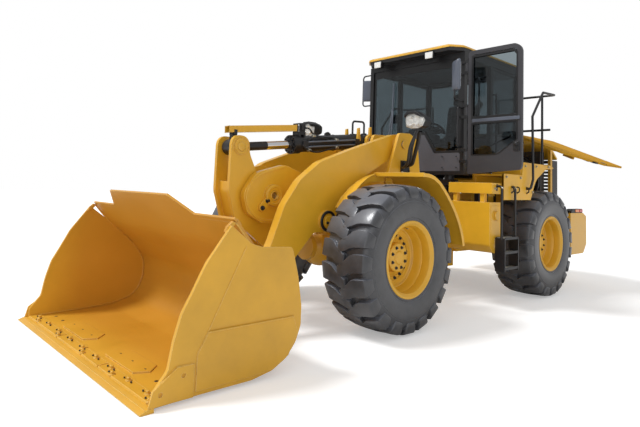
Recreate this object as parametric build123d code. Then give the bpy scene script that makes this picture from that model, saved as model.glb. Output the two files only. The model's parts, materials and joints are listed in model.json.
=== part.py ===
"""Articulated wheel loader, in millimetres.

+X is forwards, +Y is to the left and +Z is up. The drawing frame has its origin on the ground under
the articulation pin. The exported frame's origin is MID_X further forward, at the middle of the
machine's length, on the ground.
"""
from build123d import *
from math import atan2, cos, hypot, radians, sin, tan
import os

os.makedirs("parts", exist_ok=True)

# ---- driving dimensions -------------------------------------------------------------------
MID_X = 375
FIT = 0.05                    # radial clearance of a pin in its bore
WHEELBASE = 3350
AXLE_X = WHEELBASE / 2
TYRE_R = 765
TYRE_HALF = 295
TRACK_HALF = 1095
RIM_R = 345
FLANGE_R = 381
STUB_R = 60

PIN_R = 50
HITCH_R = 55
HITCH_UPPER = (1130, 1200)    # the front frame's ears, low and high faces
HITCH_LOWER = (460, 530)
HITCH_GAP = 10
FORK_T = 65

LIFT_PIVOT = (900, 2030)      # X and Z of the pins across the machine
LIFT_BASE = (660, 1200)
LIFT_EYE = (2110, 1107)
TILT_BASE = (950, 2095)
LEVER_PIN = (2615, 1365)
LEVER_TOP = (2985, 1860)
LEVER_FOOT = (2313, 698)
BUCKET_PIN = (3060, 360)
BUCKET_LINK = (2946, 702)

ARM_IN, ARM_OUT = 455, 555
TOWER_OUT = (600, 640)
TOWER_IN = (190, 230)
LIFT_CYL_Y = 350
SUPPORT_Y = (170, 240)
LEVER_Y = (110, 150)

STEER_BASE = (-620, 520)      # X and Y of the steering cylinders' pins, left side
STEER_EYE = (420, 360)
STEER_Z = 850

CAB_FRONT, CAB_REAR = -130, -1700
CAB_HALF = 850
CAB_FLOOR = 1700
CAB_TOP = 3390
WALL = 60
DOOR_HINGE = (-108, 900)
DOOR_GAP = 20                 # from the hinge's axis to the door's edge
KNUCKLE_R = 14
KNUCKLE_GAP = 0.3
DOOR_W = 770
DOOR_T = 40

HOOD_HALF = 590
HOOD_TOP = 2450
WING_HINGE = (620, 2440)      # Y and Z of the engine doors' hinge
WING_OPEN = 67.4
WING_L = 1240
WING_T = 30

BUCKET_HALF = 1430
RAIL_Y = (330, 400)
CHEEK_Y = (240, 310)


# ---- outline and solid helpers ---------------------------------------------------------------
def outline(points, spot=Vector):
    """Closed loop of 2-D points, placed by spot. A third number rounds that corner to its radius."""
    count = len(points)
    entries, arcs = [], []
    for i, point in enumerate(points):
        x, y = point[:2]
        radius = point[2] if len(point) > 2 else 0
        if not radius:
            entries.append((x, y))
            arcs.append(None)
            continue
        ax, ay = points[i - 1][:2]
        bx, by = points[(i + 1) % count][:2]
        la, lb = hypot(ax - x, ay - y), hypot(bx - x, by - y)
        ua, ub = ((ax - x) / la, (ay - y) / la), ((bx - x) / lb, (by - y) / lb)
        half = abs(atan2(ua[0] * ub[1] - ua[1] * ub[0], ua[0] * ub[0] + ua[1] * ub[1])) / 2
        run = radius / tan(half)
        middle_x, middle_y = ua[0] + ub[0], ua[1] + ub[1]
        reach = (radius / sin(half) - radius) / hypot(middle_x, middle_y)
        entries.append((x + ua[0] * run, y + ua[1] * run))
        arcs.append(((x + middle_x * reach, y + middle_y * reach), (x + ub[0] * run, y + ub[1] * run)))
    edges = []
    for i, start in enumerate(entries):
        if arcs[i]:
            middle, end = arcs[i]
            edges.append(Edge.make_three_point_arc(spot(*start), spot(*middle), spot(*end)))
            start = end
        after = entries[(i + 1) % count]
        if hypot(after[0] - start[0], after[1] - start[1]) > 1e-6:
            edges.append(Edge.make_line(spot(*start), spot(*after)))
    return Face(Wire(edges))


def prism_y(points, y0, y1):
    """Outline in X and Z, from y0 to y1."""
    face = outline(points, lambda x, z: Vector(x, y0, z))
    return Part() + Solid.extrude(face, Vector(0, y1 - y0, 0))


def prism_x(points, x0, x1):
    """Outline in Y and Z, from x0 to x1."""
    face = outline(points, lambda y, z: Vector(x0, y, z))
    return Part() + Solid.extrude(face, Vector(x1 - x0, 0, 0))


def prism_z(points, z0, z1):
    """Outline in X and Y, from z0 to z1."""
    face = outline(points, lambda x, y: Vector(x, y, z0))
    return Part() + Solid.extrude(face, Vector(0, 0, z1 - z0))


def box(x0, x1, y0, y1, z0, z1):
    size = (abs(x1 - x0), abs(y1 - y0), abs(z1 - z0))
    return Pos((x0 + x1) / 2, (y0 + y1) / 2, (z0 + z1) / 2) * Box(*size)


def round_x(y, z, radius, x0, x1):
    return Pos((x0 + x1) / 2, y, z) * Rot(0, 90, 0) * Cylinder(radius, abs(x1 - x0))


def round_y(x, z, radius, y0, y1):
    return Pos(x, (y0 + y1) / 2, z) * Rot(90, 0, 0) * Cylinder(radius, abs(y1 - y0))


def round_z(x, y, radius, z0, z1):
    return Pos(x, y, (z0 + z1) / 2) * Cylinder(radius, abs(z1 - z0))


def bar(start, end, radius):
    """Round bar between two points."""
    a, b = Vector(*start), Vector(*end)
    plane = Plane(origin=a, z_dir=b - a)
    return plane * Pos(0, 0, (b - a).length / 2) * Cylinder(radius, (b - a).length)


def bent_bar(points, radius, bend):
    """Round bar along straight runs joined by arcs."""
    path = FilletPolyline(*points, radius=bend)
    return sweep(Plane(origin=path @ 0, z_dir=path % 0) * Circle(radius), path=path)


def strip(points, thickness):
    """Outline of a bent sheet: an open line of points and a parallel to its left."""
    count = len(points)
    side = []
    for i in range(count):
        dirs = []
        for a, b in ((i - 1, i), (i, i + 1)):
            if 0 <= a and b < count:
                dx, dy = points[b][0] - points[a][0], points[b][1] - points[a][1]
                dirs.append((dx / hypot(dx, dy), dy / hypot(dx, dy)))
        first, last = dirs[0], dirs[-1]
        normal = (-(first[1] + last[1]), first[0] + last[0])
        scale = thickness / (1 + first[0] * last[0] + first[1] * last[1])
        x, y = points[i][0] + normal[0] * scale, points[i][1] + normal[1] * scale
        turn = first[0] * last[1] - first[1] * last[0]
        radius = points[i][2] if len(points[i]) > 2 else 0
        if radius:
            side.append((x, y, radius - thickness if turn > 0 else radius + thickness))
        else:
            side.append((x, y))
    return list(points) + side[::-1]


def mirrored(shape):
    return mirror(shape, about=Plane.XZ)


def both(shape):
    """A shape and its mirror image across the machine's middle."""
    return [shape, mirrored(shape)]


def fused(parts):
    whole = parts[0]
    for part in parts[1:]:
        whole = whole + part
    return whole


def save(name, parts):
    shape = fused(list(parts))
    solids = [solid.moved(Location((-MID_X, 0, 0))) for solid in shape.solids()]
    result = solids[0] if len(solids) == 1 else Compound(children=solids)
    result.label = name
    export_step(result, f"parts/{name}.step")


# ---- wheels -----------------------------------------------------------------------------------
def ring(profile, x, side):
    """Turned part about a wheel's axis; profile holds radius and distance outboard of mid-tyre."""
    face = outline(profile)
    turned_part = revolve(face, Axis.Y)
    if side < 0:
        turned_part = mirror(turned_part, about=Plane.XZ)
    return Pos(x, side * TRACK_HALF, TYRE_R) * turned_part


CARCASS_R = TYRE_R - 46
LUGS = 16                     # on each shoulder
FACETS = 2 * LUGS
BEAD_GAP = 0.3
LUG_LEAN = 100                # how far a lug's toe leans round the tyre
LUG_TOP = (TYRE_R**2 - LUG_LEAN**2) ** 0.5


def ring_point(radius, along_axle, angle):
    return Vector(radius * sin(radians(angle)), along_axle, radius * cos(radians(angle)))


def carcass():
    """Tyre without its lugs: its section turned in flat steps, one for each lug."""
    step = 360 / FACETS
    bead_r = RIM_R / cos(radians(step / 2)) + BEAD_GAP
    half = [(bead_r, 228), (600, TYRE_HALF), (CARCASS_R, 240)]
    section = half + [(radius, -across) for radius, across in half[::-1]]
    faces = []
    for i in range(FACETS):
        for j, (radius, across) in enumerate(section):
            next_radius, next_across = section[(j + 1) % len(section)]
            faces.append(Face(Wire.make_polygon([
                ring_point(radius, across, (i - 0.5) * step),
                ring_point(next_radius, next_across, (i - 0.5) * step),
                ring_point(next_radius, next_across, (i + 0.5) * step),
                ring_point(radius, across, (i + 0.5) * step)], close=True)))
    return Solid(Shell(faces))


def lug(side):
    """One tread block: a foot on the shoulder and a toe that leans over to the tread's middle."""
    plan = [(-50, TYRE_HALF), (54, TYRE_HALF), (LUG_LEAN, 22), (4, 22)]
    return prism_z([(t, side * across) for t, across in plan], 640, LUG_TOP)


def make_tyre():
    lugs = []
    for side, shift in ((1, 0), (-1, 0.5)):
        block = lug(side)
        lugs += [block.rotate(Axis.Y, (i + shift) * 360 / LUGS) for i in range(LUGS)]
    return Part() + [carcass()] + lugs


HUB_IN, HUB_OUT = -95, 150
HUB_R = 235


def rim(x, side):
    well = 318
    section = [
        (well, -264), (FLANGE_R, -264), (FLANGE_R, -250), (RIM_R, -250),
        (RIM_R, 250), (FLANGE_R, 250), (FLANGE_R, 264), (well, 264),
        (well, 130), (HUB_R, 95), (HUB_R, HUB_OUT), (150, HUB_OUT), (150, 195), (0, 195),
        (0, 115), (STUB_R + FIT, 115), (STUB_R + FIT, HUB_IN), (HUB_R, HUB_IN), (HUB_R, 70), (well, 105),
    ]
    return ring(section, x, side)


def make_wheels():
    tread = make_tyre()
    for end, x in (("front", AXLE_X), ("rear", -AXLE_X)):
        for name, side in (("left", 1), ("right", -1)):
            save(f"tyre_{end}_{name}", [Pos(x, side * TRACK_HALF, TYRE_R) * tread])
            save(f"rim_{end}_{name}", [rim(x, side)])


AXLE_TOP = 930


def axle(x):
    """Axle housing with its differential bowl, brake housings, pads and stub shafts."""
    hub_face = TRACK_HALF + HUB_IN
    brake_face = hub_face - 15
    parts = [
        round_y(x, TYRE_R, 130, -690, 690),
        Pos(x, 0, TYRE_R) * Sphere(235),
        round_x(0, TYRE_R, 150, x - 300, x + 250),
    ]
    for side in (1, -1):
        parts.append(round_y(x, TYRE_R, 185, side * 680, side * brake_face))
        parts.append(round_y(x, TYRE_R, STUB_R, side * brake_face, side * (TRACK_HALF + 110)))
        parts.append(box(x - 140, x + 140, side * 190, side * 640, TYRE_R, AXLE_TOP))
    return parts


# ---- front frame -------------------------------------------------------------------------------
def disc_y(pin, radius, y0, y1):
    return round_y(pin[0], pin[1], radius, y0, y1)


NOSE_X = 1930


def tower_plate(y0, y1):
    points = [
        (560, 900), (560, 1700), (620, 2110, 90), (780, 2180, 40), (990, 2170, 60), (1180, 1680, 200),
        (1330, 1180, 200), (NOSE_X - 60, 1040, 60), (NOSE_X, AXLE_TOP), (1150, AXLE_TOP, 60), (980, 620, 80),
        (640, 480, 60),
    ]
    return prism_y(points, y0, y1)


def front_frame():
    parts = []
    for side in (1, -1):
        parts.append(tower_plate(side * TOWER_OUT[0], side * TOWER_OUT[1]))
        parts.append(tower_plate(side * TOWER_IN[0], side * TOWER_IN[1]))
    width = TOWER_OUT[1]
    parts += [
        box(560, 600, -width, width, 480, 1060),
        box(600, 1150, -width, width, 480, 510) - box(980, 1160, -700, 700, 470, 520),
        box(1180, NOSE_X - 20, -width, width, AXLE_TOP, 960) - box(1350, 2000, -180, 180, 900, 1000),
        box(250, 570, -200, 200, HITCH_LOWER[0], 500),
        box(250, 570, -200, 200, 1160, HITCH_UPPER[1]),
        box(250, 570, 160, 200, 480, 1180),
        box(250, 570, -200, -160, 480, 1180),
    ]
    for low, high in (HITCH_UPPER, HITCH_LOWER):
        parts.append(prism_z([(-150, -150, 149), (-150, 150, 149), (300, 200), (300, -200)], low, high))
    for side in (1, -1):
        for low in (STEER_Z - 55, STEER_Z + 30):
            lug = prism_z([(330, side * 195), (330, side * 300, 40), (370, side * 430, 60),
                           (480, side * 430, 60), (570, side * 195)], low, low + 25)
            parts.append(lug)
    tilt_tube = round_y(TILT_BASE[0], TILT_BASE[1] - 230, 70, -TOWER_IN[0], TOWER_IN[0])
    parts.append(tilt_tube)
    for side in (1, -1):
        parts.append(prism_y([(830, 1830), (TILT_BASE[0] - 80, TILT_BASE[1] + 75, 70),
                              (TILT_BASE[0] + 80, TILT_BASE[1] + 75, 70), (1050, 1830)],
                             side * 105, side * 145))
        parts.append(box(860, 1020, side * 105, side * 190, 1830, 1890))
    bores = [
        disc_y(LIFT_PIVOT, PIN_R + FIT, -700, 700),
        disc_y(LIFT_BASE, PIN_R + FIT, -700, 700),
        disc_y(TILT_BASE, PIN_R + FIT, -150, 150),
        round_z(0, 0, HITCH_R, 400, 1300),
    ]
    body = fused(parts)
    for bore in bores:
        body = body - bore
    return body


def front_pins():
    pins = [disc_y(TILT_BASE, PIN_R, -155, 155)]
    for side in (1, -1):
        pins.append(disc_y(LIFT_PIVOT, PIN_R, side * 180, side * 655))
        pins.append(disc_y(LIFT_BASE, PIN_R, side * 180, side * 655))
    return pins


FENDER_OUT = 1350


def front_fender():
    """Left front fender: bent sheet over the tyre with an inner wall out to its brackets."""
    line = [(2745, 1230), (2450, 1480, 120), (2230, 1600, 150), (1300, 1610, 200), (1010, 1480, 200),
            (790, 1170, 250), (690, 810)]
    sheet = prism_y(strip(line, 25), 660, FENDER_OUT)
    skirt = prism_y(line + [(730, 850), (830, 1150, 230), (1045, 1440, 180), (1310, 1560, 180),
                            (2215, 1550, 130), (2425, 1440, 100), (2715, 1205)],
                    FENDER_OUT, FENDER_OUT + 12)
    bracket = box(1200, 1280, TOWER_OUT[1], 700, 1560, 1610)
    bracket += box(1180, 2100, TOWER_OUT[1], 665, 1560, 1635)
    return fused([sheet, skirt, bracket])


def lock_bar():
    """Transport bar stowed along the left side of the front frame, with its two lugs."""
    y = TOWER_OUT[1]
    eyes = round_y(640, 570, 34, y, y + 30) + round_y(1060, 570, 34, y, y + 30)
    return [box(600, 1100, y, y + 22, 540, 600) + eyes]


def driveshaft(start, end):
    """Shaft along X under the machine with a joint's flange and cup at each end."""
    shaft = round_x(0, TYRE_R, 45, start, end)
    for x, run in ((start, 1), (end, -1)):
        shaft += round_x(0, TYRE_R, 95, x, x + run * 25)
        shaft += round_x(0, TYRE_R, 65, x, x + run * 130)
    return shaft


def make_front_frame():
    body = front_frame()
    save("front_frame", [body])
    save("front_axle", axle(AXLE_X) + [driveshaft(640, AXLE_X - 290)])
    save("lock_bar", lock_bar())
    save("front_frame_pins", front_pins())
    save("front_fenders", both(front_fender() - body))
    save("headlamp_brackets", both(headlamp_bracket()))
    save("headlamps", both(headlamp() - headlamp_bracket()))


LAMP_Y = 950


def headlamp_bracket():
    plate = box(800, 960, TOWER_OUT[1], TOWER_OUT[1] + 20, 1690, 1830)
    arm = bent_bar([(880, 655, 1760), (880, 760, 1790), (960, 900, 2060), (1000, LAMP_Y, 2170)], 24, 60)
    return plate + arm


def headlamp():
    shell = prism_y([(720, 2280, 60), (740, 2400, 60), (1130, 2400, 30), (1140, 2200, 30), (860, 2195, 60)],
                    LAMP_Y - 120, LAMP_Y + 120)
    taper = [(700, LAMP_Y - 30), (1150, LAMP_Y - 110, 20), (1150, LAMP_Y + 110, 20), (700, LAMP_Y + 30)]
    shell &= prism_z(taper, 2100, 2500)
    foot = round_z(1000, LAMP_Y, 30, 2165, 2200)
    lens = box(1136, 1152, LAMP_Y - 95, LAMP_Y + 95, 2220, 2385)
    return shell + foot + lens


# ---- lift arms -----------------------------------------------------------------------------------
def arm(side):
    points = [
        (790, 2010, 90), (850, 2170, 100), (1003, 2150, 120), (1770, 1903, 300), (2231, 1740, 300),
        (2506, 1537, 300), (2700, 1278, 300), (2850, 900, 300), (3170, 400, 90), (3060, 240, 90),
        (2930, 300, 60), (2560, 720, 200), (2290, 990, 80), (2110, 985, 80), (1990, 1090, 80),
        (1900, 1330, 200), (1554, 1593, 300), (1091, 1830, 200), (850, 1890, 90),
    ]
    return prism_y(points, side * ARM_IN, side * ARM_OUT)


CROSS_TUBE = (2230, 1420)


def support(side):
    """Rounded casting that carries the lever's pin."""
    points = [
        (2090, 1420, 60), (2150, 1600, 100), (2466, 1700, 150), (2835, 1600, 200), (2990, 1380, 150),
        (2930, 1180, 120), (2740, 1075, 150), (2500, 1075, 100), (2230, 1270, 60),
    ]
    return prism_y(points, side * SUPPORT_Y[0], side * SUPPORT_Y[1])


def make_boom():
    parts = [disc_y(CROSS_TUBE, 140, -ARM_IN - 20, ARM_IN + 20)]
    for side in (1, -1):
        parts += [arm(side), support(side)]
        parts.append(disc_y(LIFT_PIVOT, 110, side * (ARM_IN - 30), side * (ARM_OUT + 30)))
        parts.append(disc_y(LIFT_EYE, 115, side * ARM_IN, side * (ARM_OUT + 25)))
        parts.append(disc_y(LEVER_PIN, 115, side * SUPPORT_Y[0], side * (SUPPORT_Y[1] + 25)))
    body = fused(parts)
    body = body - disc_y(LIFT_PIVOT, PIN_R + FIT, -700, 700)
    body = body - disc_y(LEVER_PIN, PIN_R + FIT, -300, 300)
    body = body - disc_y(BUCKET_PIN, PIN_R + FIT, -700, 700)
    for side in (1, -1):
        body = body - disc_y(LIFT_EYE, PIN_R + FIT, side * 440, side * 600)
    save("boom", [body])
    pins = [disc_y(LEVER_PIN, PIN_R, -260, 260)]
    for side in (1, -1):
        pins.append(disc_y(LIFT_EYE, PIN_R, side * 396, side * 590))
    save("boom_pins", pins)


def lever_plate(side):
    points = [
        (3100, 1880, 100), (3105, 1400, 250), (3010, 1090, 200), (2720, 880, 300), (2380, 610, 90),
        (2230, 640, 80), (2240, 780, 80), (2440, 1080, 150), (2470, 1440, 100), (2740, 1540, 80),
        (2870, 1800, 200), (2880, 1975, 100), (3080, 1980, 90),
    ]
    return prism_y(points, side * LEVER_Y[0], side * LEVER_Y[1])


def make_lever():
    parts = [disc_y(LEVER_PIN, 120, -LEVER_Y[1], LEVER_Y[1])]
    for side in (1, -1):
        parts.append(lever_plate(side))
        parts.append(disc_y(LEVER_TOP, 85, side * LEVER_Y[1], side * (LEVER_Y[1] + 12)))
        parts.append(disc_y(LEVER_TOP, PIN_R, side * 96, side * LEVER_Y[1]))
    parts.append(prism_y(strip([(3060, 1500), (3062, 1400, 230), (2975, 1115, 170), (2780, 985)], -40),
                         -LEVER_Y[0], LEVER_Y[0]))
    body = fused(parts)
    body = body - disc_y(LEVER_PIN, PIN_R + FIT, -300, 300)
    body = body - disc_y(LEVER_FOOT, PIN_R + FIT, -300, 300)
    save("bellcrank", [body])
    save("bellcrank_pin", [disc_y(LEVER_FOOT, PIN_R, -160, 160)])


def make_link():
    length = hypot(BUCKET_LINK[0] - LEVER_FOOT[0], BUCKET_LINK[1] - LEVER_FOOT[1])
    parts = [disc_y(LEVER_FOOT, 90, -100, 100), disc_y(BUCKET_LINK, 85, -50, 50)]
    parts.append(box(LEVER_FOOT[0] + 40, LEVER_FOOT[0] + length - 40, -50, 50, 640, 760))
    body = fused(parts) - disc_y(LEVER_FOOT, PIN_R + FIT, -200, 200)
    save("bucket_link", [body])


# ---- cylinders -------------------------------------------------------------------------------------
def along(start, end, distance):
    dx, dz = end[0] - start[0], end[1] - start[1]
    size = hypot(dx, dz)
    return start[0] + dx / size * distance, start[1] + dz / size * distance


def cylinder_pair(base, eye, y, bore_r, rod_r, barrel_l, rod_start, eye_r, base_half, eye_half):
    """Barrel hung on a pin at base and rod that ends in an eye, both in the plane y."""
    def rod_between(a, b, radius):
        return bar((a[0], y, a[1]), (b[0], y, b[1]), radius)

    tip = along(base, eye, barrel_l)
    barrel = rod_between(along(base, eye, 60), tip, bore_r)
    barrel += rod_between(along(base, eye, barrel_l - 90), along(base, eye, barrel_l + 25), bore_r * 1.15)
    barrel += disc_y(base, eye_r, y - base_half, y + base_half)
    cavity = rod_between(along(base, eye, 140), along(base, eye, barrel_l + 40), rod_r + 1)
    barrel = barrel - cavity - disc_y(base, PIN_R + FIT, y - 200, y + 200)
    rod = rod_between(along(base, eye, rod_start), eye, rod_r)
    rod += disc_y(eye, eye_r, y - eye_half, y + eye_half)
    return barrel, rod


TILT_BARREL_L = 1240
LIFT_BARREL_L = 1110


def make_cylinders():
    barrel, rod = cylinder_pair(TILT_BASE, LEVER_TOP, 0, 96, 48, TILT_BARREL_L, 720, 85, 85, 88)
    bracket = box(2010, 2110, -45, 45, 2040, 2103)
    lug_line = [(1560, 2095), (1560, 2135, 12), (1604, 2158, 20), (1650, 2135, 12), (1650, 2095)]
    lifting_lug = prism_y(lug_line, -12, 12)
    lifting_lug -= round_y(1605, 2133, 10, -20, 20)
    save("tilt_cylinder_barrel", [barrel + bracket + lifting_lug])
    post = box(2945, 3025, -30, 30, 1930, 2040)
    slide_bar = prism_y([(2140, 2112), (3065, 2005), (3065, 2078), (2140, 2185)], -45, 45)
    save("tilt_cylinder_rod", [rod + post + slide_bar])
    barrel, rod = cylinder_pair(LIFT_BASE, LIFT_EYE, LIFT_CYL_Y, 75, 42, LIFT_BARREL_L, 180, 85, 110, 40)
    save("lift_cylinder_barrels", both(barrel))
    save("lift_cylinder_rods", both(rod))
    for name, side in (("left", 1), ("right", -1)):
        base, eye = STEER_BASE, STEER_EYE
        dx, dy = eye[0] - base[0], side * (eye[1] - base[1])
        size = hypot(dx, dy)
        ux, uy = dx / size, dy / size

        def spot(distance):
            return base[0] + ux * distance, side * base[1] + uy * distance, STEER_Z

        barrel = bar(spot(50), spot(620), 50)
        barrel += round_z(base[0], side * base[1], 60, STEER_Z - 45, STEER_Z + 45)
        barrel = barrel - bar(spot(100), spot(640), 29)
        barrel = barrel - round_z(base[0], side * base[1], 30 + FIT, STEER_Z - 60, STEER_Z + 60)
        rod = bar(spot(390), spot(size), 28) + round_z(eye[0], side * eye[1], 45, STEER_Z - 20, STEER_Z + 20)
        save(f"steering_cylinder_barrel_{name}", [barrel])
        save(f"steering_cylinder_rod_{name}", [rod])


# ---- bucket ----------------------------------------------------------------------------------------
SHELL_T = 22
SIDE_T = 28
SHELL_LINE = [
    (4440, 30), (3640, 52, 300), (3330, 130, 260), (3232, 330, 260), (3236, 560, 260), (3440, 800, 700),
    (3676, 985, 700), (3850, 1185),
]
SIDE_LINE = [
    (4450, 30), (4450, 110, 30), (4350, 235, 60), (4318, 420, 200), (4270, 590, 300), (4203, 712, 300),
    (4100, 912, 300), (3905, 1170), (3720, 1030, 150), (3610, 1000, 60), (3322, 985, 30), (3298, 915, 60),
    (3250, 755, 200), (3205, 515, 200), (3205, 360, 150), (3255, 235, 150), (3345, 130, 120),
    (3480, 62, 120), (3670, 30, 200),
]


def bucket_lug(y0, y1):
    x, z = BUCKET_PIN
    points = [(x - 105, z - 20, 90), (x - 100, z + 110, 60), (x + 60, z + 330), (3290, z + 330),
              (3290, 120), (x + 60, z - 150, 60)]
    return prism_y(points, y0, y1)


def link_lug(y0, y1):
    x, z = BUCKET_LINK
    points = [(x - 80, z - 75, 74), (x - 80, z + 80, 74), (3330, 900), (3330, 330)]
    return prism_y(points, y0, y1)


CHEEK = [(4480, 30), (4455, 130), (4290, 250), (4160, 250), (4160, 30)]
SIDE_WEAR = [(4140, 60), (4140, 300), (4060, 440), (3290, 440), (3240, 320), (3330, 150), (3480, 75), (3680, 60)]
WEAR_T = 8


def bucket_back():
    """Stiffeners behind the shell: a folded beam along the top and one rib outside each pair of lugs."""
    beam = prism_y([(3330, 640), (3240, 720, 30), (3300, 880, 30), (3440, 900)], -610, 610)
    ribs = [prism_y([(3600, 20), (3400, 40), (3190, 330), (3190, 560), (3380, 860), (3520, 860)],
                    side * 900, side * 920) for side in (1, -1)]
    return [beam] + ribs


def bucket_plates(inner):
    """Cheek plates, side wear plates, floor wear plates and the skids under the floor."""
    plates = []
    hexagon = [(4300, 260), (4300, 800), (4190, 860), (4090, 760), (4090, 300), (4190, 200)]
    for side in (1, -1):
        outside = (side * (BUCKET_HALF - 1), side * (BUCKET_HALF + 12))
        cheek = prism_y(CHEEK, *outside)
        for x, z in ((4400, 100), (4240, 190)):
            cheek -= round_y(x, z, 16, side * (inner - 10), side * (BUCKET_HALF + 20))
        plates.append(cheek)
        plates.append(prism_y(SIDE_WEAR, side * (BUCKET_HALF - 1), side * (BUCKET_HALF + WEAR_T)))
        floor = prism_z([(x, side * y) for x, y in hexagon], 24, 52)
        plates.append(floor & prism_y([(4440, 28), (3640, 50), (3640, 60), (4440, 38)], -inner, inner))
        plates.append(box(3720, 4150, side * 1180, side * 1300, 0, 32))
        plates.append(box(3720, 4150, side * 250, side * 350, 0, 32))
    return plates


def make_bucket():
    inner = BUCKET_HALF - SIDE_T
    shell = prism_y(strip(SHELL_LINE, SHELL_T), -inner, inner)
    inside = prism_y([(4600, 30), *SHELL_LINE[1:], (3905, 1170), (4600, 1170)], -inner, inner)
    parts = [shell]
    lugs = []
    for side in (1, -1):
        parts.append(prism_y(SIDE_LINE, side * inner, side * BUCKET_HALF))
        lugs.append(bucket_lug(side * 400, side * 444))
        lugs.append(bucket_lug(side * 566, side * 610))
        lugs.append(link_lug(side * 64, side * 100))
        lugs.append(disc_y(BUCKET_LINK, PIN_R, side * 56, side * 104))
    guard = prism_y([(3850, 1185), (3835, 1200), (4000, 1375), (4015, 1362)], -600, 600)
    ends = []
    for side in (1, -1):
        tri = Solid.extrude(Face(Wire.make_polygon([
            Vector(3850, side * 600, 1185), Vector(3850, side * 860, 1185), Vector(4015, side * 600, 1362)])),
            Vector(-14, 0, 14))
        ends.append(tri)
    rim_bar = prism_y([(3820, 1150), (3850, 1185), (3838, 1215), (3800, 1175)], -inner, inner)
    lugs += bucket_back()
    body = fused(parts + [lug - inside for lug in lugs] + [rim_bar, guard] + ends + bucket_plates(inner))
    body = body - disc_y(BUCKET_PIN, PIN_R + FIT, -700, 700)
    save("bucket", [body])
    pins = [disc_y(BUCKET_PIN, PIN_R, side * 392, side * 618) for side in (1, -1)]
    save("bucket_pins", pins)
    reach = BUCKET_HALF + 15
    edge = prism_y([(4440, 30), (4440, 0), (4530, 0), (4540, 8), (4480, 30)], -reach, reach)
    save("cutting_edge", [edge])


# ---- rear frame ------------------------------------------------------------------------------------
def fork_plate(low, high):
    points = [(150, -150, 149), (150, 150, 149), (-150, 260), (-480, 300), (-480, -300), (-150, -260)]
    return prism_z(points, low, high)


def rear_frame():
    parts = []
    for low, high in (HITCH_UPPER, HITCH_LOWER):
        parts.append(fork_plate(low - HITCH_GAP - FORK_T, low - HITCH_GAP))
        parts.append(fork_plate(high + HITCH_GAP, high + HITCH_GAP + FORK_T))
    for side in (1, -1):
        parts.append(box(-300, -760, side * CHEEK_Y[0], side * CHEEK_Y[1], 385, 1275))
        rail = prism_y([(-700, 1180), (-3450, 1180), (-3450, 700), (-2300, 700), (-2100, 1000, 60),
                        (-1250, 1000, 60), (-1050, 600), (-700, 600)], side * RAIL_Y[0], side * RAIL_Y[1])
        parts.append(rail)
        for low in (STEER_Z - 75, STEER_Z + 50):
            parts.append(prism_z([(-760, side * 390), (-760, side * 580), (-560, side * 580, 55),
                                  (-560, side * 460, 55), (-700, side * 390)], low, low + 25))
        parts.append(box(-1815, -1535, side * 190, side * 400, AXLE_TOP, 1000))
    width = RAIL_Y[1]
    parts += [
        box(-700, -760, -width, width, 600, 1180),
        box(-1900, -1450, -width, width, 1000, 1040),
        box(-3450, -3410, -width, width, 700, 1180),
        box(-2350, -2310, -width, width, 700, 1000),
        box(-1100, -1060, -width, width, 700, 1000) - box(-1110, -1050, -180, 180, 690, 900),
    ]
    body = fused(parts)
    body = body - round_z(0, 0, HITCH_R, 300, 1400)
    for side in (1, -1):
        body = body - round_z(STEER_BASE[0], side * STEER_BASE[1], 30 + FIT, 700, 1000)
    return body


def hitch_pins():
    pins = []
    for low, high in (HITCH_UPPER, HITCH_LOWER):
        reach = HITCH_GAP + FORK_T + 15
        pins.append(round_z(0, 0, HITCH_R - FIT, low - reach, high + reach))
    for side in (1, -1):
        pins.append(round_z(STEER_BASE[0], side * STEER_BASE[1], 30, STEER_Z - 100, STEER_Z + 100))
    return pins


REAR_END = -3790
TOW_X = REAR_END + 60
TOW_R = 25.5
TOW_EARS = ((720, 750), (850, 880))


def platform():
    """Left walkway and rear fender: side plate, deck and step over the tyre."""
    side = prism_y([(-350, 1385), (-350, 1725), (-880, 1725), (-900, UPPER_DECK), (-1790, UPPER_DECK),
                    (-1900, 1870), (-1640, 1850, 150), (-1290, 1670, 300), (-1131, 1391)], 1285, 1310)
    deck = box(-350, -890, 860, 1285, 1700, 1725)
    riser = box(-880, -905, 860, 1285, 1700, UPPER_DECK)
    upper = box(-905, CAB_REAR, CAB_HALF + 10, 1285, UPPER_DECK - 25, UPPER_DECK)
    upper += box(CAB_REAR - 5, RAIL_REAR - 20, 740, 1285, UPPER_DECK - 25, UPPER_DECK)
    arch = [(-1860, 1879), (-1640, 1862, 150), (-1278, 1678, 300), (-1118, 1400)]
    under = prism_y(strip(arch, -18), 860, 1292)
    return [side, deck, riser, upper, under]


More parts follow.
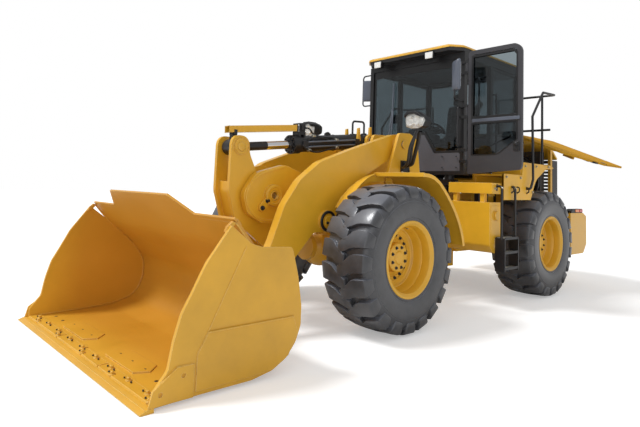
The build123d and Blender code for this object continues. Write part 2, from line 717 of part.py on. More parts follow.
def make_rear_frame():
    body = rear_frame()
    save("rear_frame", [body])
    save("rear_axle", axle(-AXLE_X) + [driveshaft(-1110, -AXLE_X + 240)])
    save("hitch_pins", hitch_pins())
    base = [box(-200, -1760, -600, 600, 1560, 1640)]
    for side in (1, -1):
        base.append(box(-310, -560, side * CHEEK_Y[0], side * CHEEK_Y[1], 1275, 1560))
        base.append(box(-1300, -1600, side * 330, side * 400, 1180, 1560))
    for side in (1, -1):
        for x in (-330, -1580):
            base.append(round_z(x, side * 500, 70, 1640, CAB_FLOOR))
    save("cab_base", base)
    walk = platform() + [box(-400, -1700, 600, 860, 1600, 1640), box(-400, -1700, 830, 880, 1600, 1700)]
    save("platforms", both(fused(walk)))
    save("side_boxes", both(side_box()))
    save("ladders", both(ladder()))
    save("handrails", both(handrail()))
    weight = prism_y([(-2950, 600, 60), (-2950, 1180), (-3560, 1180), (-3700, 1120), (-3700, 640),
                      (-3560, 490, 60), (-3050, 490)], -1120, 1120)
    weight = weight - box(-3450, -2900, -402, 402, 400, 1300)
    for side in (1, -1):
        weight = weight - box(-2900, -3020, side * 700, side * 1200, 400, 1300)
    tow_ear = [(-3690, -90), (REAR_END, -90, 60), (REAR_END, 90, 60), (-3690, 90)]
    for low, high in TOW_EARS:
        weight = weight + prism_z(tow_ear, low, high)
    weight = weight - round_z(TOW_X, 0, TOW_R, TOW_EARS[0][0] - 20, TOW_EARS[1][1] + 20)
    save("counterweight", [weight])


TANK_IN = 640                 # the steering cylinders swing inside it


def side_box():
    """Left box under the cab: upper tray, tank below it and the posts between."""
    upper = box(-110, -1120, 640, 1280, 1460, 1600)
    tank_line = [(-110, 800, 60), (-110, 1350), (-420, 1350), (-420, 700, 60), (-200, 700, 80)]
    lower = prism_y(tank_line, TANK_IN, 1250)
    posts = [box(-130, -200, 700, 760, 1350, 1460), box(-130, -200, 1100, 1160, 1350, 1460)]
    inner = box(-310, -420, RAIL_Y[1], TANK_IN, STEER_Z + 90, 1100)
    return fused([upper, lower, inner] + posts)


def ladder():
    """Left access ladder: two hangers bent down from the step's edge, stringers and treads."""
    parts = []
    for x, wall in ((-230, 1280), (-590, 1310)):
        parts.append(box(x - 8, x + 8, 1265, 1400, 480, 900))
        parts.append(bent_bar([(x, wall, 1560), (x, 1350, 1560), (x, 1350, 880)], 16, 36))
    for z in (500, 700, 880):
        parts.append(box(-230, -590, 1270, 1395, z, z + 20))
    return fused(parts)


RAIL_OUT = 1370
RAIL_IN = 800
RAIL_R = 17
RAIL_REAR = -1790
RAIL_TOP = 2970
UPPER_DECK = 1905


def handrail():
    """Left rail: a bent hoop from the step's side up and round to the cab, a rear post and a middle bar."""
    seam = (-1590, RAIL_OUT, RAIL_TOP - 10)
    hoop = bent_bar([(-1000, 1310, 1545), (-1000, RAIL_OUT, 1545), (-1075, RAIL_OUT, 1680),
                     (-1050, RAIL_OUT, 2560), (-1390, RAIL_OUT, RAIL_TOP - 20), seam], RAIL_R, 28)
    hoop += bent_bar([seam, (RAIL_REAR, RAIL_OUT, RAIL_TOP), (RAIL_REAR, RAIL_IN, RAIL_TOP),
                      (RAIL_REAR, RAIL_IN, UPPER_DECK)], RAIL_R, 28)
    rear_post = round_z(RAIL_REAR, 1180, RAIL_R, UPPER_DECK, RAIL_TOP)
    middle = bar((RAIL_REAR, RAIL_IN, 2450), (RAIL_REAR, 1300, 2450), RAIL_R)
    feet = [round_z(RAIL_REAR, y, 36, UPPER_DECK, UPPER_DECK + 10) for y in (RAIL_IN, 1180)]
    return fused([hoop, rear_post, middle] + feet)


# ---- engine and hood --------------------------------------------------------------------------------
ENGINE_X = (-2950, -2150)     # rear and front of the block
FAN_X = -3100


def engine_block():
    rear, front = ENGINE_X
    parts = [
        box(rear, front, -210, 210, 1180, 1440),
        box(rear, front, -270, 270, 1420, 1720),
        box(rear + 20, front - 20, -150, 150, 1700, 1880),
        prism_x([(-110, 1860), (110, 1860), (110, 1950, 50), (-110, 1950, 50)], rear + 40, front - 40),
        round_x(0, 1500, 290, front, front + 60),
        round_x(0, 1500, 130, rear - 60, rear),
        round_x(170, 1640, 70, rear - 50, rear),
        round_x(-190, 1680, 60, rear - 50, rear),
    ]
    for side in (1, -1):
        for x in (-2350, -2850):
            parts.append(box(x, x + 100, side * 200, side * RAIL_Y[1], 1180, 1290))
    pitch = (front - rear - 120) / 6
    for i in range(6):
        x = rear + 60 + (i + 0.5) * pitch
        parts.append(round_z(x, 205, 34, 1700, 1850))
        parts.append(box(x - 30, x + 30, -300, -140, 1740, 1810))
    parts += [
        round_x(205, 1850, 45, rear + 60, front - 60),
        round_x(-300, 1775, 55, rear + 60, front - 60),
        round_y(-2420, 1930, 105, 190, 330),
        round_y(-2420, 1930, 60, 330, 400),
        round_x(-330, 1480, 75, -2500, -2300),
        round_z(-2700, -305, 55, 1400, 1640),
    ]
    return parts


def fan():
    """Fan on the block's rear pulley: a hub, eight pitched blades and its spindle."""
    parts = [round_x(0, 1700, 105, FAN_X - 40, FAN_X + 40), round_x(0, 1700, 40, FAN_X, ENGINE_X[0] + 5)]
    blade = Pos(FAN_X, 0, 1700) * Rot(0, 0, 28) * Pos(0, 0, 270) * Box(10, 150, 400)
    for i in range(8):
        parts.append(blade.rotate(Axis((0, 0, 1700), (1, 0, 0)), i * 45))
    return parts


PACK_X = (-3420, -3260)


def cooling_pack():
    """Radiator core with its tanks and the fan's shroud."""
    rear, front = PACK_X
    core = box(rear, front - 40, -495, 495, 1180, 2250)
    frame = box(front - 40, front, -495, 495, 1180, 2250) - box(front - 50, front + 10, -440, 440, 1240, 2190)
    shroud = box(front - 20, front, -460, 460, 1230, 2200) - round_x(0, 1700, 470, front - 50, front + 10)
    collar = round_x(0, 1700, 490, front - 20, front + 60) - round_x(0, 1700, 470, front - 50, front + 80)
    collar = collar & box(front - 20, front + 60, -492, 492, 1185, 2245)
    return [core, frame, shroud, collar]


STACK = (-2480, -330)         # X and Y of the exhaust and of the air cleaner's cap
CLEANER = (-2200, 260)


def exhaust():
    """Exhaust stack with its collar, and the air cleaner's cap, both standing in holes in the hood."""
    x, y = STACK
    stack = bent_bar([(x, y, HOOD_TOP - 15), (x, y, 2980), (x - 140, y, 3110)], 55, 90)
    stack -= bent_bar([(x, y, HOOD_TOP + 100), (x, y, 2980), (x - 160, y, 3128)], 50, 90)
    collar = round_z(x, y, 95, HOOD_TOP - 45, HOOD_TOP + 10)
    cap = [round_z(*CLEANER, 65, HOOD_TOP - 40, 2600), round_z(*CLEANER, 120, 2600, 2720),
           round_z(*CLEANER, 70, 2720, 2750)]
    return [stack + collar, fused(cap)]


def make_engine():
    save("engine", engine_block() + fan())
    save("transmission", [
        box(-1350, -1900, -250, 250, 1060, 1450), round_x(0, 1400, 250, -1880, -2090),
        box(-1350, -1440, -RAIL_Y[0], RAIL_Y[0], 1060, 1120), round_x(0, 1240, 70, -1350, -1250),
        round_z(-1620, 190, 60, 1440, 1520),
    ])
    save("cooling_pack", cooling_pack())
    save("exhaust", exhaust())
    side_frame = []
    for side in (1, -1):
        side_frame.append(box(-3480, -3550, side * 540, side * HOOD_HALF, 1180, 2290))
        side_frame.append(box(-1850, -1900, side * 400, side * HOOD_HALF, 1180, 2420))
        side_frame.append(box(-1850, -3480, side * 500, side * HOOD_HALF, 1180, 1240))
        side_frame += wing_brackets(side)
    top = prism_y(strip([(-1850, 2450), (-3250, 2420, 300), (-3560, 2300, 200), (-3770, 2150)], 35),
                  -HOOD_HALF, HOOD_HALF)
    bulkhead = box(-1850, -1875, -HOOD_HALF, HOOD_HALF, 1500, 2420)
    low, high = HOOD_TOP - 60, HOOD_TOP + 20
    top -= round_z(*STACK, 95, low, high) + round_z(*CLEANER, 65, low, high)
    save("hood", [top, bulkhead] + side_frame)
    save("rear_grille", rear_grille())
    for name, side in (("left", 1), ("right", -1)):
        save(f"engine_door_{name}", [engine_door(side)])


GRILLE_X = (-3770, -3560)
GRILLE_SLATS = 13


def rear_grille():
    """Open box behind the cooler with slats across its back."""
    rear, front = GRILLE_X
    low, high = 1180, 2100
    case = box(rear, front, -HOOD_HALF, HOOD_HALF, low, high)
    case -= box(rear - 10, front + 10, -HOOD_HALF + 50, HOOD_HALF - 50, low + 50, high - 50)
    pitch = (high - low - 100) / GRILLE_SLATS
    slats = []
    for i in range(GRILLE_SLATS):
        z = low + 50 + (i + 0.5) * pitch
        blade = [(rear + 10, z - 22), (rear + 14, z - 26), (rear + 64, z + 14), (rear + 60, z + 18)]
        slats.append(prism_y(blade, -HOOD_HALF + 45, HOOD_HALF - 45))
    return [case] + slats + [box(rear + 30, rear + 50, -12, 12, low + 40, high - 40)]


WING_HINGE_X = (-2050, -2650, -3250)
WING_KNUCKLE = 120


def wing_brackets(side):
    y, z = WING_HINGE
    parts = []
    for x in WING_HINGE_X:
        for start in (x + KNUCKLE_GAP, x - WING_KNUCKLE - KNUCKLE_GAP - 50):
            parts.append(round_x(side * y, z, KNUCKLE_R, start, start + 50))
            end, inside = start + 50, side * (HOOD_HALF - 20)
            parts.append(box(start, end, inside, side * y, z - 10, z + 8))
            parts.append(box(start, end, inside, side * (HOOD_HALF + 8), z - 50, z + 8))
    return parts


def engine_door(side):
    """Side door hinged at its top edge, its lower front corner cut to pass the rear tyre, shown open."""
    y, z = WING_HINGE
    near, far = y - WING_T / 2, y + WING_T / 2
    panel = box(-1960, -3460, side * near, side * far, z - 20, z - WING_L)
    panel = panel - prism_y([(-1900, 1600), (-1960, 1600), (-2760, 1150), (-2760, 1000), (-1900, 1000)],
                            -800, 800)
    pocket = prism_y([(-1985, z - 45), (-3435, z - 45), (-3435, z - WING_L + 25), (-2785, z - WING_L + 25),
                      (-2785, 1165), (-1985, 1625)], side * (near - 5), side * (far - 6))
    parts = [panel - pocket]
    for x in (-2400, -3050):
        parts.append(box(x, x - 60, side * (near + 4), side * (far - 4), z - 40, 1600))
        parts.append(prism_y([(x, z - 700), (x, z - 860), (x - 60, z - 860), (x - 60, z - 700)],
                             side * (near - 60), side * (near + 10)))
    for x in WING_HINGE_X:
        parts.append(round_x(side * y, z, KNUCKLE_R, x, x - WING_KNUCKLE))
        parts.append(box(x, x - WING_KNUCKLE, side * (y - 8), side * (y + 8), z - 30, z))
    axis = Axis((0, side * y, z), (1, 0, 0))
    return fused(parts).rotate(axis, side * WING_OPEN)


# ---- cab ------------------------------------------------------------------------------------------
POST = 80                     # front posts, and the rails over the windows
SIDE_WALL = 60
PANEL_T = 40
GLASS_T = 8
B_POST = (-900, -840)
WINDOW_TOP = CAB_TOP - 80
CAB_SILL = CAB_FLOOR + 50
FRONT_SILL = 2000
HUMP = (200, 366, 2270)       # half widths and height of the front panel's raised middle
SIDE_SILL = 2300
REAR_SILL = 2350


def cab_frame():
    """Floor, six posts and the rails round the roof."""
    inner = CAB_HALF - SIDE_WALL
    parts = [box(CAB_FRONT, CAB_REAR, -CAB_HALF, CAB_HALF, CAB_FLOOR, CAB_SILL)]
    posts = ((CAB_FRONT - POST, CAB_FRONT), B_POST, (CAB_REAR, CAB_REAR + SIDE_WALL))
    for side in (1, -1):
        for rear, front in posts:
            parts.append(box(rear, front, side * inner, side * CAB_HALF, CAB_FLOOR, CAB_TOP))
        parts.append(box(CAB_REAR, CAB_FRONT, side * inner, side * CAB_HALF, WINDOW_TOP, CAB_TOP))
    parts.append(box(CAB_FRONT - SIDE_WALL, CAB_FRONT, -CAB_HALF, CAB_HALF, WINDOW_TOP, CAB_TOP))
    parts.append(box(CAB_REAR, CAB_REAR + SIDE_WALL, -CAB_HALF, CAB_HALF, WINDOW_TOP, CAB_TOP))
    return fused(parts)


def front_opening(low, high, half):
    """Windscreen's outline in Y and Z over the front panel's raised middle."""
    narrow, wide, top = HUMP
    return [(half, low), (wide, low), (narrow, top), (-narrow, top), (-wide, low), (-half, low),
            (-half, high), (half, high)]


def cab_panels():
    """Lower walls between the posts, each as thick as the real double sheet."""
    inner = CAB_HALF - SIDE_WALL
    narrow, wide, top = HUMP
    edge = [(inner, CAB_SILL), (inner, FRONT_SILL), (wide, FRONT_SILL), (narrow, top)]
    front = prism_x(edge + [(-y, z) for y, z in edge[::-1]], CAB_FRONT - PANEL_T, CAB_FRONT - 5)
    rear = box(CAB_REAR + 5, CAB_REAR + PANEL_T, -inner, inner, CAB_SILL, REAR_SILL)
    walls = [front, rear]
    rear_post = CAB_REAR + SIDE_WALL
    for side in (1, -1):
        walls.append(box(rear_post, B_POST[0], side * (CAB_HALF - 5), side * (CAB_HALF - PANEL_T),
                         CAB_SILL, SIDE_SILL))
    walls.append(box(B_POST[1], CAB_FRONT - POST, -CAB_HALF + 5, -CAB_HALF + PANEL_T, CAB_SILL, FRONT_SILL))
    return walls


def cab_glass():
    """Panes between the posts: screen, rear window, two rear side windows and the right front one."""
    inner = CAB_HALF - SIDE_WALL
    rear_post = CAB_REAR + SIDE_WALL
    panes = [
        prism_x(front_opening(FRONT_SILL, WINDOW_TOP, inner), CAB_FRONT - 25 - GLASS_T, CAB_FRONT - 25),
        box(CAB_REAR + 25, CAB_REAR + 25 + GLASS_T, -inner, inner, REAR_SILL, WINDOW_TOP),
    ]
    for side in (1, -1):
        panes.append(box(rear_post, B_POST[0], side * (CAB_HALF - 25), side * (CAB_HALF - 25 - GLASS_T),
                         SIDE_SILL, WINDOW_TOP))
    panes.append(box(B_POST[1], CAB_FRONT - POST, -CAB_HALF + 25, -CAB_HALF + 25 + GLASS_T,
                     FRONT_SILL, WINDOW_TOP))
    return panes


ROOF_FRONT = 60
ROOF_HALF = 860


def cab_roof():
    """Roof cap that overhangs the screen, with cut front corners and a raised middle."""
    side_line = [(ROOF_FRONT - 10, CAB_TOP), (ROOF_FRONT, 3430), (ROOF_FRONT - 20, 3475, 20),
                 (-200, 3500, 100), (-1720, 3500, 40), (-1790, 3440), (-1780, CAB_TOP)]
    side_view = prism_y(side_line, -900, 900)
    left_edge = [(ROOF_FRONT, 720, 60), (-120, ROOF_HALF, 80), (-1790, ROOF_HALF, 80)]
    plan = prism_z(left_edge + [(x, -y, radius) for x, y, radius in left_edge[::-1]], 3300, 3600)
    front_view = prism_x([(-ROOF_HALF, CAB_TOP), (ROOF_HALF, CAB_TOP), (ROOF_HALF, 3445), (740, 3500, 90),
                          (-740, 3500, 90), (-ROOF_HALF, 3445)], -1900, 200)
    return side_view & plan & front_view


WORK_LAMP_Y = (-540, 400)


def work_lamps():
    """Two lamps under the roof's front edge, two at its rear and the tail lamps on the counterweight."""
    lamps = []
    for y in WORK_LAMP_Y:
        lamps.append(box(-20, 40, y - 60, y + 60, 3295, 3375) + box(-10, 10, y - 15, y + 15, 3370, CAB_TOP))
    for side in (1, -1):
        lamps.append(box(-1775, -1720, side * 500, side * 620, 3295, 3375)
                     + box(-1755, -1735, side * 545, side * 575, 3370, CAB_TOP))
        lamps.append(prism_y([(-3080, 1180), (-3080, 1210), (-3150, 1250, 20), (-3560, 1250), (-3560, 1180)],
                             side * 1010, side * 1110))
    return lamps


MIRROR = (200, 60, 400)       # width, depth and height of the left mirror


def mirrors():
    """Left mirror ahead of the front post on its arm, right one beside its post inside a tube loop."""
    left = Pos(150, 900, 3010) * Box(MIRROR[1], MIRROR[0], MIRROR[2])
    left = fillet(left.edges().filter_by(Axis.X), 40)
    left += bent_bar([(CAB_FRONT, 820, 2700), (60, 820, 2700), (150, 870, 2700), (150, 870, 2820)], 12, 30)
    right = Pos(-170, -950, 3060) * Box(MIRROR[1], 130, MIRROR[2])
    right = fillet(right.edges().filter_by(Axis.X), 40)
    loop = [(-170, -CAB_HALF, 3290), (-170, -1040, 3290), (-170, -1040, 2800), (-170, -CAB_HALF, 2800)]
    right += bent_bar(loop, 11, 50)
    right += bar((-170, -1040, 3060), (-170, -1000, 3060), 12)
    return [left, right]


def operator_seat():
    """Cushion, back with its head rest, arm rests, bellows and base plate."""
    base = [box(-950, -1300, -190, 190, CAB_SILL, 1830), box(-980, -1270, -150, 150, 1830, 2120)]
    side_line = [(-890, 2150, 60), (-900, 2270, 50), (-1330, 2250, 20), (-1330, 2120), (-930, 2120, 20)]
    cushion = prism_y(side_line, -260, 260)
    back = prism_y([(-1270, 2240), (-1350, 2900, 60), (-1440, 2900, 30), (-1400, 2200)], -240, 240)
    head = prism_y([(-1360, 2860), (-1370, 3090, 30), (-1438, 3090, 30), (-1430, 2860)], -130, 130)
    arms = [box(-1020, -1370, side * 235, side * 300, 2440, 2500) for side in (1, -1)]
    return fused(base + [cushion, back, head] + arms)


def make_cab():
    save("cab_shell", [cab_frame()] + cab_hinges())
    save("cab_panels", cab_panels())
    save("cab_glass", cab_glass())
    save("cab_roof", [cab_roof()])
    save("work_lamps", work_lamps())
    save("mirrors", mirrors())
    save("seat", [operator_seat()])
    column = bar((-330, 0, CAB_SILL - 20), (-570, 0, 2430), 45)
    column += box(-180, -430, -110, 110, CAB_SILL, 2180)
    tilt = Plane(origin=(-570, 0, 2430), z_dir=(-230, 0, 650))
    wheel = tilt * Torus(190, 15) + tilt * Cylinder(40, 30)
    wheel += tilt * Box(360, 30, 10) + tilt * Box(30, 360, 10)
    save("steering_column", [column + wheel - box(0, -900, -400, 400, CAB_FLOOR - 100, CAB_SILL)])
    side_line = [(-700, CAB_SILL), (-700, 2330, 40), (-760, 2420, 40), (-1350, 2400, 60), (-1350, CAB_SILL)]
    console = prism_y(side_line, -620, -340)
    levers = [bar((x, -480, 2390), (x + 20, -480, 2540), 12) for x in (-800, -880)]
    save("console", [fused([console] + levers)])
    make_cab_door()


DOOR_HINGE_Z = (1900, 2500, 3100)
DOOR_KNUCKLE = 110
POST_KNUCKLE = 40


def cab_hinges():
    """Knuckles on the cab's corner post, above and below each of the door's."""
    x, y = DOOR_HINGE
    parts = []
    for z in DOOR_HINGE_Z:
        for low in (z - KNUCKLE_GAP - POST_KNUCKLE, z + DOOR_KNUCKLE + KNUCKLE_GAP):
            high = low + POST_KNUCKLE
            parts.append(round_z(x, y, KNUCKLE_R, low, high))
            parts.append(box(x - KNUCKLE_R, x + KNUCKLE_R, 845, y, low, high))
            parts.append(box(CAB_FRONT, x + KNUCKLE_R, 800, 848, low, high))
            parts.append(box(CAB_FRONT - 30, CAB_FRONT, 845, CAB_HALF, low, high))
    return parts


def make_cab_door():
    x, y = DOOR_HINGE
    inner_face, outer_face = x - 2 - DOOR_T, x - 2
    low, high = CAB_FLOOR + 10, CAB_TOP - 20
    near, far = y + DOOR_GAP, y + DOOR_W
    frame = [(near, low, 20), (far, low + 60, 60), (far, high, 120), (near, high, 60)]
    upper = [(near + 60, 2450, 30), (far - 60, 2450, 30), (far - 60, high - 60, 60), (near + 60, high - 60, 30)]
    lower = [(near + 60, 1960, 30), (near + 390, 1960, 60), (far - 60, 2150, 60), (far - 60, 2380, 30),
             (near + 60, 2380, 30)]
    panel = prism_x(frame, inner_face, outer_face)
    for opening in (upper, lower):
        panel = panel - prism_x(opening, inner_face - 5, outer_face + 5)
    parts = [panel]
    for z in DOOR_HINGE_Z:
        parts.append(round_z(x, y, KNUCKLE_R, z, z + DOOR_KNUCKLE))
        parts.append(box(x - KNUCKLE_R, x - 2, y, near + 40, z, z + DOOR_KNUCKLE))
    save("cab_door", parts)
    middle = (inner_face + outer_face) / 2
    save("cab_door_glass", [prism_x(opening, middle - 3, middle + 3) for opening in (upper, lower)])


make_wheels()
make_front_frame()
make_boom()
make_lever()
make_link()
make_cylinders()
make_bucket()
make_rear_frame()
make_engine()
make_cab()
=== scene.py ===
"""Looks of an articulated wheel loader, laid out as an add-on and run as a script.

Lengths are in metres. spot() turns the drawing's millimetres, counted from the steering pin, into the frame.
"""
import json
import math

import bmesh
import bpy
from mathutils import Matrix, Vector


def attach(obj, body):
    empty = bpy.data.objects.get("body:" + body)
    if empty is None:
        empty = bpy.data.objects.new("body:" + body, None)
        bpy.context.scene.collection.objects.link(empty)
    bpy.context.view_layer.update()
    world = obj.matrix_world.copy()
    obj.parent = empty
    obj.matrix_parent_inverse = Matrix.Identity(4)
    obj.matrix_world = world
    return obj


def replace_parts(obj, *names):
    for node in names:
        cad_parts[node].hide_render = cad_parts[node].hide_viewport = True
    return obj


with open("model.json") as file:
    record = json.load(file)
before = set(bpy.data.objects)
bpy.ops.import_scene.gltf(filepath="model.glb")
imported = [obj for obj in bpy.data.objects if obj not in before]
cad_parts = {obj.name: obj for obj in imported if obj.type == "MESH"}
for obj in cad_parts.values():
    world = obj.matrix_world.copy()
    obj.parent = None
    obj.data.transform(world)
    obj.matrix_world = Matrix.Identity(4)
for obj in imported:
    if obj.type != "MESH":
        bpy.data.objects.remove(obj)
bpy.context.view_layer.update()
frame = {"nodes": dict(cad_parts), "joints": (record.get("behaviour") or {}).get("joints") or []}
JOINTS = {joint["name"]: joint for joint in frame["joints"]}
STEER_X = JOINTS["steer"]["pos_m"][0]

bl_info = {
    "name": "Wheel loader looks",
    "version": (1, 0, 0),
    "blender": (4, 5, 0),
    "location": "3D View > Sidebar > Loader",
    "description": "Dresses the wheel loader's frame with tyres, glass, pipes, fasteners and paint",
    "category": "Object",
}


# ---- settings ------------------------------------------------------------------------------
def length(name, description, default):
    return bpy.props.FloatProperty(name=name, description=description, default=default, min=0.0,
                                   subtype="DISTANCE", unit="LENGTH")


def colour(name, description, default):
    return bpy.props.FloatVectorProperty(name=name, description=description, default=default, size=3,
                                         min=0.0, max=1.0, subtype="COLOR")


def count(name, description, default):
    return bpy.props.IntProperty(name=name, description=description, default=default, min=1)


def number(name, description, default):
    return bpy.props.FloatProperty(name=name, description=description, default=default)


class LoaderPaints(bpy.types.PropertyGroup):
    yellow: colour("Body yellow", "Gloss paint of frame, arms and hood", (0.74, 0.40, 0.022))
    # a little darker than the body yellow: painted shade for the whole bucket
    bucket: colour("Bucket yellow", "Paint of the bucket", (0.70, 0.375, 0.026))
    # pale edge colour: worn paint along the plate edges, and a painted highlight there too
    edge: colour("Worn edge", "Paint thinned along plate edges", (0.93, 0.72, 0.30))
    black: colour("Satin black", "Rails, steps and lamp brackets", (0.012, 0.012, 0.014))
    grey: colour("Cab grey", "Cab panels and door frame", (0.082, 0.081, 0.092))
    rubber: colour("Tyre rubber", "Tread and sidewall", (0.050, 0.051, 0.056))
    seat: colour("Seat cloth", "Woven seat cover", (0.02, 0.021, 0.024))
    glass: colour("Glass tint", "Colour of one surface of the cab glass", (0.215, 0.26, 0.28))
    red: colour("Lock bar red", "Frame lock bar", (0.5, 0.02, 0.01))


class LoaderTyres(bpy.types.PropertyGroup):
    lugs: count("Lugs", "Tread blocks on each shoulder", 20)
    radius: length("Radius", "From the axle to the tread", 0.765)


class LoaderTrim(bpy.types.PropertyGroup):
    softness: length("Edge radius", "Rounding that the paint shows at plate edges", 0.005)


class LoaderStage(bpy.types.PropertyGroup):
    floor: colour("Floor", "Plain pale floor", (0.80, 0.80, 0.80))
    sky: number("Sky", "Strength of the even light", 0.56)
    key: number("Key", "Strength of the main lamp", 2.3)
    fill: number("Fill", "Strength of the lamp beside the camera", 0.62)
    focal: number("Focal length", "Lens in millimetres on a 36 mm sensor", 29.31)


def settings(kind):
    return getattr(bpy.context.scene, "loader_" + kind)


# ---- places --------------------------------------------------------------------------------
def spot(x, y, z):
    return Vector((STEER_X + x / 1000, y / 1000, z / 1000))


def joint_spot(name):
    return Vector(JOINTS[name]["pos_m"])


# ---- node trees ------------------------------------------------------------------------------
class Tree:
    """Short way to write a node tree: node() adds one and links or sets its inputs by name or index."""

    def __init__(self, tree):
        self.tree = tree

    def node(self, kind, inputs=(), **values):
        made = self.tree.nodes.new(kind)
        for key, value in values.items():
            setattr(made, key, value)
        for key, value in dict(inputs).items():
            socket = made.inputs[key]
            if isinstance(value, bpy.types.NodeSocket):
                self.tree.links.new(value, socket)
            else:
                socket.default_value = value
        return made

    def math(self, first, second, operation="MULTIPLY", **values):
        return self.node("ShaderNodeMath", {0: first, 1: second}, operation=operation, **values).outputs[0]

    def ramp(self, value, start, end, low, high):
        """Value from start to end, spread from low to high and held there."""
        return self.node("ShaderNodeMapRange", {"Value": value, "From Min": start, "From Max": end, "To Min": low,
                                                "To Max": high}).outputs[0]

    def mix(self, share, first, second, blend="MIX"):
        return self.node("ShaderNodeMix", {"Factor": share, 6: first, 7: second}, data_type="RGBA",
                         blend_type=blend).outputs[2]

    def place(self):
        return self.node("ShaderNodeTexCoord").outputs["Object"]

    def part(self, vector, axis):
        return self.node("ShaderNodeSeparateXYZ", {0: vector}).outputs[axis]

    def normal(self):
        return self.node("ShaderNodeNewGeometry").outputs["Normal"]


def rgba(value, scale=1.0):
    return (*[channel * scale for channel in value], 1.0)


def new_finish(name):
    made = bpy.data.materials.new(name)
    made.use_nodes = True
    return made, Tree(made.node_tree), made.node_tree.nodes["Principled BSDF"]


def material(name, base, rough=0.5, metal=0.0, coat=0.0, vary=0.12, vary_scale=2.5, grain=0.0, grain_scale=90.0,
             edge=None, edge_wear_and_highlight_share=0.0, dust=0.0, dust_colour=(0.35, 0.27, 0.17), top=0.0, sky_sheen_colour=(1, 1, 1),
             soft=True, **sockets):
    """Procedural finish: slow colour drift, fine grain, edges worn and lightened as a painted highlight, settled
    dust, upward faces lightened as a painted sky reflection where top is given, and softened plate edges.
    """
    made, tree, shader = new_finish(name)
    place = tree.place()
    drift = tree.node("ShaderNodeTexNoise", {"Vector": place, "Scale": vary_scale, "Detail": 6.0, "Roughness": 0.6})
    fine = tree.node("ShaderNodeTexNoise", {"Vector": place, "Scale": grain_scale, "Detail": 3.0})
    shade = tree.ramp(drift.outputs["Fac"], 0.3, 0.7, 1.0 - vary, 1.0 + vary * 0.5)
    tint = tree.mix(1.0, rgba(base), shade, "MULTIPLY")
    normal = None
    radius = settings("trim").softness
    if soft:
        normal = tree.node("ShaderNodeBevel", {"Radius": radius}, samples=4).outputs[0]
    # edges mixed towards the edge colour in patches: worn paint, and a painted highlight along every plate edge
    if edge is not None:
        flat = tree.node("ShaderNodeNewGeometry").outputs["True Normal"]
        wide = tree.node("ShaderNodeBevel", {"Radius": radius * 1.3}, samples=4).outputs[0]
        dot = tree.node("ShaderNodeVectorMath", {0: flat, 1: wide}, operation="DOT_PRODUCT").outputs["Value"]
        edge_wear_and_highlight = tree.ramp(dot, 0.99, 0.80, 0.0, edge_wear_and_highlight_share)
        patch = tree.ramp(fine.outputs["Fac"], 0.35, 0.6, 0.5, 1.0)
        share = tree.math(edge_wear_and_highlight, patch)
        tint = tree.mix(share, tint, rgba(edge))
    if dust:
        up = tree.part(tree.normal(), "Z")
        low = tree.part(place, "Z")
        near = tree.ramp(low, 0.1, 1.3, 0.8, 0.15)
        lying = tree.ramp(up, -0.2, 1.0, 0.35, 1.0)
        cloud = tree.ramp(drift.outputs["Fac"], 0.42, 0.68, 0.1, 1.0)
        amount = tree.math(tree.math(tree.math(near, lying), cloud), dust, use_clamp=True)
        tint = tree.mix(amount, tint, rgba(dust_colour))
    # painted reflection: faces turned upwards are mixed towards a pale blue-grey that stands in for the sky's
    # reflection
    if top:
        up = tree.part(tree.normal(), "Z")
        share = tree.ramp(up, 0.1, 1.0, 0.0, top)
        tint = tree.mix(share, tint, rgba(sky_sheen_colour))
    made.node_tree.links.new(tint, shader.inputs["Base Color"])
    gloss = tree.ramp(drift.outputs["Fac"], 0.3, 0.7, rough * 0.85, min(1.0, rough * 1.2))
    made.node_tree.links.new(gloss, shader.inputs["Roughness"])
    if grain:
        inputs = {"Height": fine.outputs["Fac"], "Strength": grain, "Distance": 0.002}
        if normal is not None:
            inputs["Normal"] = normal
        normal = tree.node("ShaderNodeBump", inputs).outputs[0]
    if normal is not None:
        made.node_tree.links.new(normal, shader.inputs["Normal"])
    shader.inputs["Metallic"].default_value = metal
    shader.inputs["Coat Weight"].default_value = coat
    shader.inputs["Coat Roughness"].default_value = 0.08
    for key, value in sockets.items():
        shader.inputs[key.replace("_", " ")].default_value = value
    return made


def glass(name, tint, rough=0.0, ior=1.45):
    made, tree, shader = new_finish(name)
    place = tree.place()
    film = tree.node("ShaderNodeTexNoise", {"Vector": place, "Scale": 1.7, "Detail": 3.0})
    shader.inputs["Roughness"].default_value = rough
    shade = tree.node("ShaderNodeMapRange", {"Value": film.outputs["Fac"], "To Min": 0.92, "To Max": 1.0}).outputs[0]
    tinted = tree.mix(1.0, rgba(tint), shade, "MULTIPLY")
    made.node_tree.links.new(tinted, shader.inputs["Base Color"])
    shader.inputs["Transmission Weight"].default_value = 1.0
    shader.inputs["IOR"].default_value = ior
    return made


FINISH = {}
# the slot named for each finish where a piece names none; place_mesh looks it up, but gives no piece a slot
SLOT = {finish: slot for slot, finishes in (
    ("paint_yellow", ("yellow", "bucket", "rim")),
    ("paint_black", ("black", "plastic", "seal", "foam", "grey", "screen", "blind")),
    ("steel", ("steel", "wiper", "zinc")), ("chrome", ("chrome",)),
    ("lamp", ("reflector", "lens", "lens_red", "lens_amber")),
) for finish in finishes}


